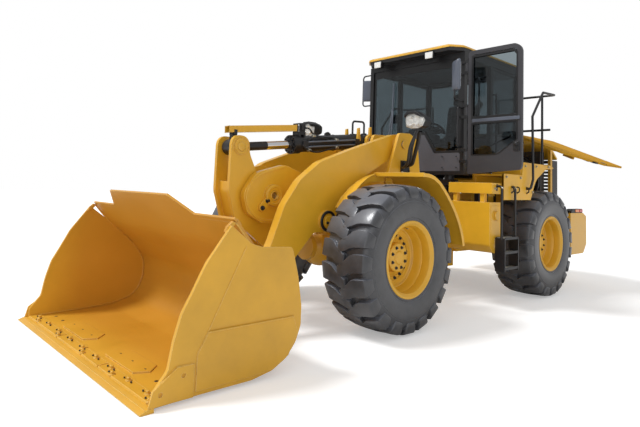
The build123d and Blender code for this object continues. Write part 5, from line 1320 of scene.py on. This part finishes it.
def make_bucket_trim():
    plates = Shape()
    for low, high in ((-1428, -500), (-484, 484), (500, 1428)):
        plates.prism([(4356, 31), (4452, 29), (4446, 43), (4360, 45)], "y", low, high)
    for side in (1, -1):
        hexagon = [(4302, 262), (4302, 798), (4190, 856), (4092, 760), (4092, 302), (4190, 202)]
        raised = [(x, side * y) for x, y in hexagon]
        plates.prism(raised, "z", 38, 48)
        strip_line = [(4330, 34), (4355, 34), (4355, 40), (4330, 40)]
        plates.plate(strip_line, side, 30, 1400)
    plates.piece("bucket_edge_plates", "bucket", "bucket", bevel=0.002)
    heads, small, holes = [], [], Shape()
    for i in range(9):
        y = -1240 + 310 * i
        heads.append(((4388, y, 45), (0.03, 0, 1)))
        small += [((4394, y - 58, 45), (0.03, 0, 1)), ((4394, y + 58, 45), (0.03, 0, 1))]
        if i % 2 == 0:
            heads.append(((4432, y + 120, 44), (0.03, 0, 1)))
            small.append(((4432, y + 62, 44), (0.03, 0, 1)))
    bolts("edge_bolts", heads, "bucket", "bucket", 0.032)
    bolts("edge_studs", small, "bucket", "black", 0.015, washer=False)
    for side in (1, -1):
        for x, y in ((4205, 330), (4205, 560), (4205, 790), (4230, 1040), (4230, 1250)):
            z = floor_z(x) + (10 if y < 900 else 0)
            holes.turned([(0, 1.5), (15, 1.5), (16, -3), (0, -3)], (x, side * y, z), (0.0275, 0, 1), 16)
    holes.piece("floor_plugs", "black", "bucket")
    shell = smoothed([(4420, 34), (3640, 55), (3330, 133), (3236, 330), (3240, 560), (3443, 798), (3679, 983),
                      (3850, 1182)], 3)
    welds = [[(x + 4, side * 1401, z + 3) for x, z in shell[::2]] for side in (1, -1)]
    welds += [[(4290, side * 1431, 250), (4160, side * 1431, 250), (4160, side * 1431, 60)] for side in (1, -1)]
    welds += [[(4060, side * 1439, 440), (3290, side * 1439, 440)] for side in (1, -1)]
    runs("bucket_welds", welds, 0.007, "bucket", "bucket", bend=0.02, sides=8)
    lines = Shape()
    for side in (1, -1):
        edge = [(4140, 305), (4060, 445), (3900, 760), (3770, 1010)]
        for (ax, az), (bx, bz) in zip(edge, edge[1:]):
            size = math.hypot(bx - ax, bz - az)
            nx, nz = (bz - az) / size * 4, -(bx - ax) / size * 4
            lines.plate([(ax - nx, az - nz), (bx - nx, bz - nz), (bx + nx, bz + nz), (ax + nx, az + nz)],
                        side, 1429, 1434)
    lines.piece("side_seams", "bucket", "bucket", bevel=0.001)
    tip = Shape()
    for side in (1, -1):
        tip.plate([(3846, 1183), (3835, 1200), (3860, 1228), (3874, 1214)], side, 600, 1402)
        tip.plate([(3940, 1120), (3925, 1160), (3880, 1200), (3850, 1186), (3880, 1150)], side, 1372, 1404)
    for side in (1, -1):
        tip.plate([(3996, 1372), (4014, 1360), (3968, 1310), (3952, 1322)], side, 470, 604)
    for x in (4455, 4475, 4495):
        tip.block(x, x + 6, -1440, 1440, 12, 29 - (x - 4440) * 0.02)
    tip.piece("bucket_tips", "bucket", "bucket", bevel=0.003)
    caps = Shape()
    for side in (1, -1):
        for y, out in ((610, side), (-400, -side)):
            caps.boss([(0, 0), (62, 0), (66, 4), (66, 14), (60, 18), (0, 18)], BUCKET_PIN, y, out, 32)
    caps.piece("bucket_pin_caps", "yellow", "bucket", bevel=0.002)
    heads = [((3060 + 40 * math.cos(a), side * 628, 360 + 40 * math.sin(a)), (0, side, 0))
             for side in (1, -1) for a in (0.7, 3.8)]
    bolts("bucket_pin_bolts", heads, "bucket", "zinc", 0.024)


# ---- lift arms, levers and towers --------------------------------------------------------------------------
def make_linkage_trim():
    rings = Shape()
    outline = smoothed([(2466, 1690), (2835, 1590), (2978, 1380), (2920, 1188), (2738, 1088), (2520, 1088)], 2)
    for side in (1, -1):
        ridge = outline + inset(outline, -24)[::-1]
        rings.plate(ridge, side, 236, 250)
        rings.boss([(52, 20), (80, 20), (88, 26), (112, 22), (116, 0), (52, 0)], LEVER_PIN, 262, side, 48)
        rings.boss([(36, -12), (50, -12), (50, 18), (44, 22), (36, 18)], LEVER_PIN, 262, side, 36)
        rings.plate([(2668, 1372), (2704, 1352), (2800, 1262), (2800, 1214), (2768, 1196), (2726, 1214),
                     (2650, 1300)], side, 240, 272)
    rings.piece("support_trim", "yellow", "boom", bevel=0.005, segments=3)
    heads = [((x, side * 274, z), (0, side, 0)) for side in (1, -1) for x, z in ((2704, 1310), (2766, 1234))]
    bolts("keeper_bolts", heads, "boom", "black", 0.034)
    dark = Shape()
    for side in (1, -1):
        dark.boss([(0, -18), (37, -18), (37, -6), (0, -6)], LEVER_PIN, 262, side, 30)
        dark.boss([(84, 0), (110, 0), (114, 6), (114, 30), (106, 36), (84, 36)], LIFT_EYE, 560, side, 48)
    dark.piece("pin_seals", "black", "boom", bevel=0.003)
    caps = Shape()
    for side in (1, -1):
        caps.plate([(2062, 1062), (2150, 1052), (2168, 1070), (2172, 1130), (2150, 1160), (2072, 1164),
                    (2050, 1144), (2046, 1082)], side, 572, 604)
    caps.piece("eye_caps", "yellow", "boom", bevel=0.006, segments=3)
    heads = [((LIFT_EYE[0] + dx, side * 606, LIFT_EYE[1] + dz), (0, side, 0))
             for side in (1, -1) for dx, dz in ((-26, 20), (30, -16))]
    bolts("eye_cap_bolts", heads, "boom", "black", 0.022)
    lever = Shape()
    for side in (1, -1):
        lever.boss([(0, 0), (44, 0), (48, 3), (48, 10), (42, 14), (0, 14)], LEVER_EYE, 160, side, 36)
        lever.boss([(50, 0), (72, 0), (76, 4), (74, 9), (50, 9)], LEVER_EYE, 160, side, 40)
        lever.boss([(50, 0), (84, 0), (88, 4), (86, 10), (50, 10)], LEVER_FOOT, 150, side, 40)
    lever.piece("lever_bosses", "yellow", "bellcrank", bevel=0.002)
    welds = [[(2983 + 98 * math.cos(a / 8), side * 151, 1860 + 98 * math.sin(a / 8)) for a in range(-4, 30)]
             for side in (1, -1)]
    runs("lever_weld", welds, 0.004, "bellcrank", "yellow", sides=6)
    tower = Shape()
    for side in (1, -1):
        tower.plate([(905, 2095), (960, 2095), (950, 2270), (918, 2280)], side, 90, 118)
        tower.plate([(1120, 2080), (1180, 2080), (1172, 2240), (1140, 2250)], side, 90, 118)
        tower.boss([(0, 0), (52, 0), (56, 4), (52, 12), (0, 12)], ARM_PIN, 656, side, 36)
        tower.boss([(0, 0), (70, 0), (74, 4), (70, 12), (0, 12)], LIFT_FOOT, 642, side, 36)
    tower.piece("tower_trim", "yellow", "front_frame", bevel=0.005)
    hoop = [[(936, 0, 2180), (936, 0, 2352), (1156, 0, 2340), (1156, 0, 2175)]]
    feet = Shape()
    for x in (936, 1156):
        feet.block(x - 20, x + 20, -34, 34, 2168 - (x - 936) * 0.115, 2200 - (x - 936) * 0.115)
    feet.piece("hoop_feet", "black", "tilt_barrel", bevel=0.004)
    runs("hose_hoop", hoop, 0.013, "tilt_barrel", "black", bend=0.04)
    heads = [((x, side * 641, z), (0, side, 0)) for side in (1, -1)
             for x, z in ((720, 1420), (720, 1300), (860, 1100), (1000, 1100), (620, 900), (620, 700))]
    bolts("tower_bolts", heads, "front_frame", "zinc", 0.03)


# ---- steps, decks and rails ----------------------------------------------------------------------------------
def make_access():
    ribs = []
    for side in (1, -1):
        for z in (520, 720, 900):
            for y in (1286, 1308, 1330, 1352, 1374):
                ribs.append([(-236, side * y, z + 1), (-584, side * y, z + 1)])
        for x in range(-380, -880, -48):
            ribs.append([(x, side * 880, 1722), (x, side * 1270, 1722)])
        for x in range(-940, -1780, -48):
            ribs.append([(x, side * 880, 1906), (x, side * 1270, 1906)])
    runs("step_ribs", ribs, 0.005, "rear_frame", "zinc", bend=0.001, sides=6)
    heads = []
    for side in (1, -1):
        heads += [((x, side * 1311, z), (0, side, 0)) for x, z in
                  ((-420, 1690), (-820, 1690), (-960, 1860), (-1300, 1870), (-1700, 1880), (-1180, 1500))]
        heads += [((x, side * 1281, 1530), (0, side, 0)) for x in (-180, -500, -800, -1060)]
        heads += [((x, side * 1352, 1540), (0, side, 0)) for x in (-230, -590)]
    bolts("deck_bolts", heads, "rear_frame", "zinc", 0.026)
    hooks = []
    for side in (1, -1):
        for x in (-560, -720, -1000):
            hooks.append([(x, side * y, z) for y, z in ((1300, 1560), (1345, 1560), (1345, 1500), (1310, 1480))])
    runs("side_hooks", hooks, 0.009, "rear_frame", "black", bend=0.02, sides=8)
    trim = Shape()
    for side in (1, -1):
        trim.plate([(-350, 1385), (-350, 1725), (-362, 1725), (-362, 1385)], side, 1283, 1318)
        trim.block(-890, -350, side * 1283, side * 1316, 1716, 1728)
        trim.block(-1800, -900, side * 1283, side * 1316, 1896, 1908)
        for z in (1474, 1574):
            trim.block(-1090, -140, side * 1279, side * 1284, z, z + 12)
        trim.boss([(0, 0), (58, 0), (62, 6), (62, 26), (54, 32), (0, 32)], (-260, 1180), 1252, side, 32)
        trim.plate([(-140, 840), (-140, 1310), (-390, 1310), (-390, 760)], side, 1249, 1255)
    trim.piece("deck_edges", "yellow", "rear_frame", bevel=0.004)
    feet = Shape()
    for side in (1, -1):
        for x in (-230, -590):
            feet.block(x - 18, x + 18, side * 1266, side * 1284, 1500, 1590)
        for z in (500, 700, 880):
            feet.block(-236, -584, side * 1388, side * 1398, z + 18, z + 34)
            feet.block(-236, -584, side * 1268, side * 1276, z + 18, z + 30)
    feet.piece("step_feet", "black", "rear_frame", bevel=0.003)


# ---- engine bay ------------------------------------------------------------------------------------------------
DOOR_SWING = 1.1763      # how far the engine doors stand open, in radians


HINGE_Y, HINGE_Z = 620, 2440
HOOD_FRONT, HOOD_SLOPE = -1850, 0.0214


def hood_z(x, z):
    """Height on the hood's slope, for a height z at its front."""
    return z - (HOOD_FRONT - x) * HOOD_SLOPE


def swung(side, points):
    """Place on an engine door as it stands open, from its place on the closed door."""
    angle = side * DOOR_SWING
    made = []
    for x, y, z in points:
        dy, dz = y - side * HINGE_Y, z - HINGE_Z
        made.append((x, side * HINGE_Y + dy * math.cos(angle) - dz * math.sin(angle),
                     HINGE_Z + dy * math.sin(angle) + dz * math.cos(angle)))
    return made


def upright(shape, x0, x1, z0, z1, *depths):
    """Upright block beside an engine door, skinned from one depth across to the other."""
    loft(shape, [[(x0, y, z0), (x1, y, z0), (x1, y, z1), (x0, y, z1)] for y in depths])


def make_engine_bay():
    for side, name in ((1, "left"), (-1, "right")):
        foam = Shape()
        near = side * 604
        for x0, x1, z0, z1 in ((-3425, -3110, 2390, 1260), (-2990, -2470, 2390, 1260), (-2340, -1995, 2390, 1680)):
            upright(foam, x0, x1, z0, z1, near - side * 2, near + side * 20)
        for x0, x1, z0, z1 in ((-3400, -3130, 2360, 1300), (-2960, -2500, 2360, 1300), (-2320, -2020, 2360, 1720)):
            upright(foam, x0, x1, z0, z1, near - side * 8, near)
        foam.points = swung(side, foam.points)
        foam.piece(f"door_foam_{name}", "foam", f"engine_door_{name}", bevel=0.006, segments=2)
        ribs = Shape()
        for x in (-3460, -2900, -2430, -1976):
            upright(ribs, x, x + 14, 2400, 1700, side * 598, side * 612)
        ribs.points = swung(side, ribs.points)
        ribs.piece(f"door_ribs_{name}", "yellow", f"engine_door_{name}", bevel=0.003)
        handle = Shape()
        upright(handle, -2760, -2640, 1262, 1222, side * 634, side * 640)
        handle.points = swung(side, handle.points)
        handle.piece(f"door_handle_{name}", "black", f"engine_door_{name}", bevel=0.003)
    pipes = [[(-2200, 212, 1460), (-2080, 330, 1500), (-2040, 360, 1700), (-2150, 330, 1860), (-2380, 220, 1930)],
             [(-2900, -240, 1560), (-2980, -330, 1620), (-3100, -380, 1900), (-3210, -380, 2080)],
             [(-2900, 240, 1500), (-3000, 340, 1420), (-3120, 390, 1360), (-3215, 390, 1320)],
             [(-2200, -250, 1320), (-2060, -320, 1400), (-2000, -340, 1700), (-2050, -280, 1980),
              (-2200, -120, 2060)]]
    runs("coolant_hoses", pipes, 0.030, "rear_frame", "hose", sides=14)
    lines = [[(-2880 + 130 * i, 236, 1790), (-2880 + 130 * i, 262, 1720), (-2870 + 130 * i, 280, 1560),
              (-2860 + 130 * i, 288, 1500)] for i in range(6)]
    runs("fuel_pipes", lines, 0.006, "rear_frame", "steel", sides=8)
    wires = [[(-2900, 286, 1440), (-2600, 300, 1420), (-2300, 292, 1450), (-2100, 300, 1540)],
             [(-2900, -286, 1740), (-2600, -300, 1700), (-2300, -292, 1760), (-2100, -280, 1640)]]
    runs("engine_wires", wires, 0.012, "rear_frame", "seal", sides=8)
    heads = []
    for i in range(6):
        x = -2874 + 130 * i
        heads += [((x, y, 1951), (0, 0, 1)) for y in (-70, 70)]
        heads += [((x, side * 271, 1600), (0, side, 0)) for side in (1, -1)]
    bolts("engine_bolts", heads, "rear_frame", "zinc", 0.024)
    frame_ = Shape()
    for side in (1, -1):
        frame_.block(-2130, -2020, side * 260, side * 420, 1240, 1420)
        frame_.turned([(0, -110), (70, -110), (80, -100), (80, 100), (70, 110), (0, 110)], (-2760, side * 400, 1420),
                      (1, 0, 0), 32)
        frame_.turned([(0, -120), (48, -120), (54, -112), (54, 112), (48, 120), (0, 120)], (-2460, side * 400, 1330),
                      (0, 0, 1), 28)
    frame_.piece("engine_cans", "plastic", "rear_frame", "cast_engine", bevel=0.006)
    bars = []
    for i in range(26):
        z = 1260 + i * 37
        bars.append([(-3252, -438, z), (-3252, 438, z)])
    runs("fan_guard", bars, 0.004, "rear_frame", "black", bend=0.001, sides=6)
    cap = Shape()
    for z in (2610, 2640, 2670, 2700):
        cap.turned([(112, -5), (124, -5), (124, 5), (112, 5)], (-2200, 260, z), (0, 0, 1), 40)
    cap.turned([(0, 0), (60, 0), (50, 16), (0, 20)], (-2200, 260, 2748), (0, 0, 1), 32)
    cap.piece("cleaner_rings", "plastic", "rear_frame", bevel=0.002)
    stack = Shape()
    for z in (2480, 2760):
        stack.turned([(54, -14), (60, -14), (60, 14), (54, 14)], (-2480, -330, z), (0, 0, 1), 36)
    stack.piece("stack_clamps", "steel", "rear_frame", bevel=0.001)
    hood = Shape()
    for x in (-2100, -2700, -3150):
        low, high = hood_z(x, 2446), hood_z(x, 2456)
        hood.prism([(x, low), (x - 24, low), (x - 24, high), (x, high)], "y", -560, 560)
    hood.prism([(-2120, 2446), (-2680, 2434), (-2680, 2444), (-2120, 2456)], "y", -180, 180)
    hood.piece("hood_ribs", "yellow", "rear_frame", bevel=0.004)
    heads = [((x, side * 585, hood_z(x, 2452)), (0, 0, 1)) for side in (1, -1)
             for x in (-1900, -2250, -2800, -3200)]
    heads += [((-3702, y, z), (-1, 0, 0)) for y in (-950, -600, 600, 950) for z in (700, 1050)]
    bolts("hood_bolts", heads, "rear_frame", "zinc", 0.024)


# ---- frames ------------------------------------------------------------------------------------------------------
def make_frame_trim():
    lines = []
    for y in (-90, -30, 30, 90):
        lines.append([(240, y, 1290), (420, y, 1300), (560, y, 1360), (640, y, 1500), (700, y * 0.8, 1690)])
    runs("frame_hoses", lines, 0.014, "front_frame", "hose")
    lines = [[(-260, y, 1300), (-420, y, 1270), (-700, y, 1230), (-1000, y * 1.4, 1235)]
             for y in (-110, -50, 50, 110)]
    runs("rear_hoses", lines, 0.014, "rear_frame", "hose")
    bolts("axle_bolts", [((x, y, 934), (0, 0, 1)) for x in (1575, 1775) for y in (-600, 600)], "front_frame", "black",
          0.036)
    heads = [((x, side * 641, z), (0, side, 0)) for side in (1, -1) for x, z in ((640, 570), (1060, 570))]
    bolts("lock_bolts", heads, "front_frame", "zinc", 0.026)
    trim = Shape()
    for _ in range(2):
        trim.turned([(0, 0), (70, 0), (76, 6), (70, 14), (0, 14)], (0, 0, 1330), (0, 0, 1), 36)
    trim.piece("hitch_cap", "yellow", "rear_frame", bevel=0.003)


# ---- operators and panel ---------------------------------------------------------------------------------
class Step:
    """Runs the functions named in jobs."""
    jobs = ()

    def execute(self, context):
        for job in self.jobs:
            job()
        return {"FINISHED"}


class LOADER_OT_finishes(Step, bpy.types.Operator):
    """Mix the paints, rubber, glass, cloth and metals, and put them on the frame's own parts"""
    bl_idname = "loader.finishes"
    bl_label = "Finishes"
    jobs = (mix_finishes, dress_frame)


class LOADER_OT_tyres(Step, bpy.types.Operator):
    """Make the four lugged tyres"""
    bl_idname = "loader.tyres"
    bl_label = "Tyres"
    jobs = (make_tyres,)


class LOADER_OT_rims(Step, bpy.types.Operator):
    """Make the dished rims, wheel bolts and valves"""
    bl_idname = "loader.rims"
    bl_label = "Rims"
    jobs = (make_rims,)


class LOADER_OT_fenders(Step, bpy.types.Operator):
    """Make the front fenders and the guards beside the lift arms"""
    bl_idname = "loader.fenders"
    bl_label = "Front fenders"
    jobs = (make_fenders,)


class LOADER_OT_bucket(Step, bpy.types.Operator):
    """Make the bucket's edge plates, fasteners and welds"""
    bl_idname = "loader.bucket"
    bl_label = "Bucket trim"
    jobs = (make_bucket_trim,)


class LOADER_OT_linkage(Step, bpy.types.Operator):
    """Make trim, seals, caps and fasteners on the lift arms, levers and towers"""
    bl_idname = "loader.linkage"
    bl_label = "Linkage trim"
    jobs = (make_linkage_trim,)


class LOADER_OT_cylinders(Step, bpy.types.Operator):
    """Make the cylinders' bands, pipes and hoses, the tilt rod and the bucket positioner"""
    bl_idname = "loader.cylinders"
    bl_label = "Cylinder trim"
    jobs = (make_cylinder_trim,)


class LOADER_OT_cab(Step, bpy.types.Operator):
    """Make the cab's seals, wipers, lamps, mirrors, roof and door fittings"""
    bl_idname = "loader.cab"
    bl_label = "Cab trim"
    jobs = (make_cab_trim,)


class LOADER_OT_seat(Step, bpy.types.Operator):
    """Make the padded operator's seat and the cab's controls"""
    bl_idname = "loader.seat"
    bl_label = "Seat and controls"
    jobs = (make_seat,)


class LOADER_OT_lamps(Step, bpy.types.Operator):
    """Make the headlamps' shells, lenses and brackets"""
    bl_idname = "loader.lamps"
    bl_label = "Headlamps"
    jobs = (make_headlamps,)


class LOADER_OT_access(Step, bpy.types.Operator):
    """Make the ribs of steps and decks, their bolts, hooks, edges and feet"""
    bl_idname = "loader.access"
    bl_label = "Steps and decks"
    jobs = (make_access,)


class LOADER_OT_engine(Step, bpy.types.Operator):
    """Make the engine bay's foam, hoses, pipes, fasteners, cans and fan guard"""
    bl_idname = "loader.engine"
    bl_label = "Engine bay"
    jobs = (make_engine_bay,)


class LOADER_OT_frames(Step, bpy.types.Operator):
    """Make the hoses, fasteners and hitch cap of the two frames"""
    bl_idname = "loader.frames"
    bl_label = "Frame trim"
    jobs = (make_frame_trim,)


class LOADER_OT_stage(Step, bpy.types.Operator):
    """Make the pale floor, the studio light and the camera"""
    bl_idname = "loader.stage"
    bl_label = "Stage"
    jobs = (make_stage,)


OPERATORS = (
    LOADER_OT_stage, LOADER_OT_finishes, LOADER_OT_tyres, LOADER_OT_rims, LOADER_OT_fenders, LOADER_OT_bucket,
    LOADER_OT_linkage, LOADER_OT_cylinders, LOADER_OT_cab, LOADER_OT_seat, LOADER_OT_lamps, LOADER_OT_access,
    LOADER_OT_engine, LOADER_OT_frames,
)


class LOADER_PT_looks(bpy.types.Panel):
    """Sizes, colours and pieces of the wheel loader"""
    bl_idname = "LOADER_PT_looks"
    bl_label = "Wheel loader"
    bl_space_type = "VIEW_3D"
    bl_region_type = "UI"
    bl_category = "Loader"

    def draw(self, context):
        for kind in GROUPS:
            group = settings(kind)
            box = self.layout.box()
            for key in group.__annotations__:
                box.prop(group, key)
        for operator in OPERATORS:
            self.layout.operator(operator.bl_idname)


GROUPS = {"paints": LoaderPaints, "tyres": LoaderTyres, "trim": LoaderTrim, "stage": LoaderStage}
CLASSES = (*GROUPS.values(), *OPERATORS, LOADER_PT_looks)


def register():
    for item in CLASSES:
        bpy.utils.register_class(item)
    for kind, group in GROUPS.items():
        setattr(bpy.types.Scene, "loader_" + kind, bpy.props.PointerProperty(type=group))


def unregister():
    for kind in GROUPS:
        delattr(bpy.types.Scene, "loader_" + kind)
    for item in reversed(CLASSES):
        bpy.utils.unregister_class(item)


def main():
    register()
    for operator in OPERATORS:
        group, name = operator.bl_idname.split(".")
        getattr(getattr(bpy.ops, group), name)()


if __name__ == "__main__":
    main()
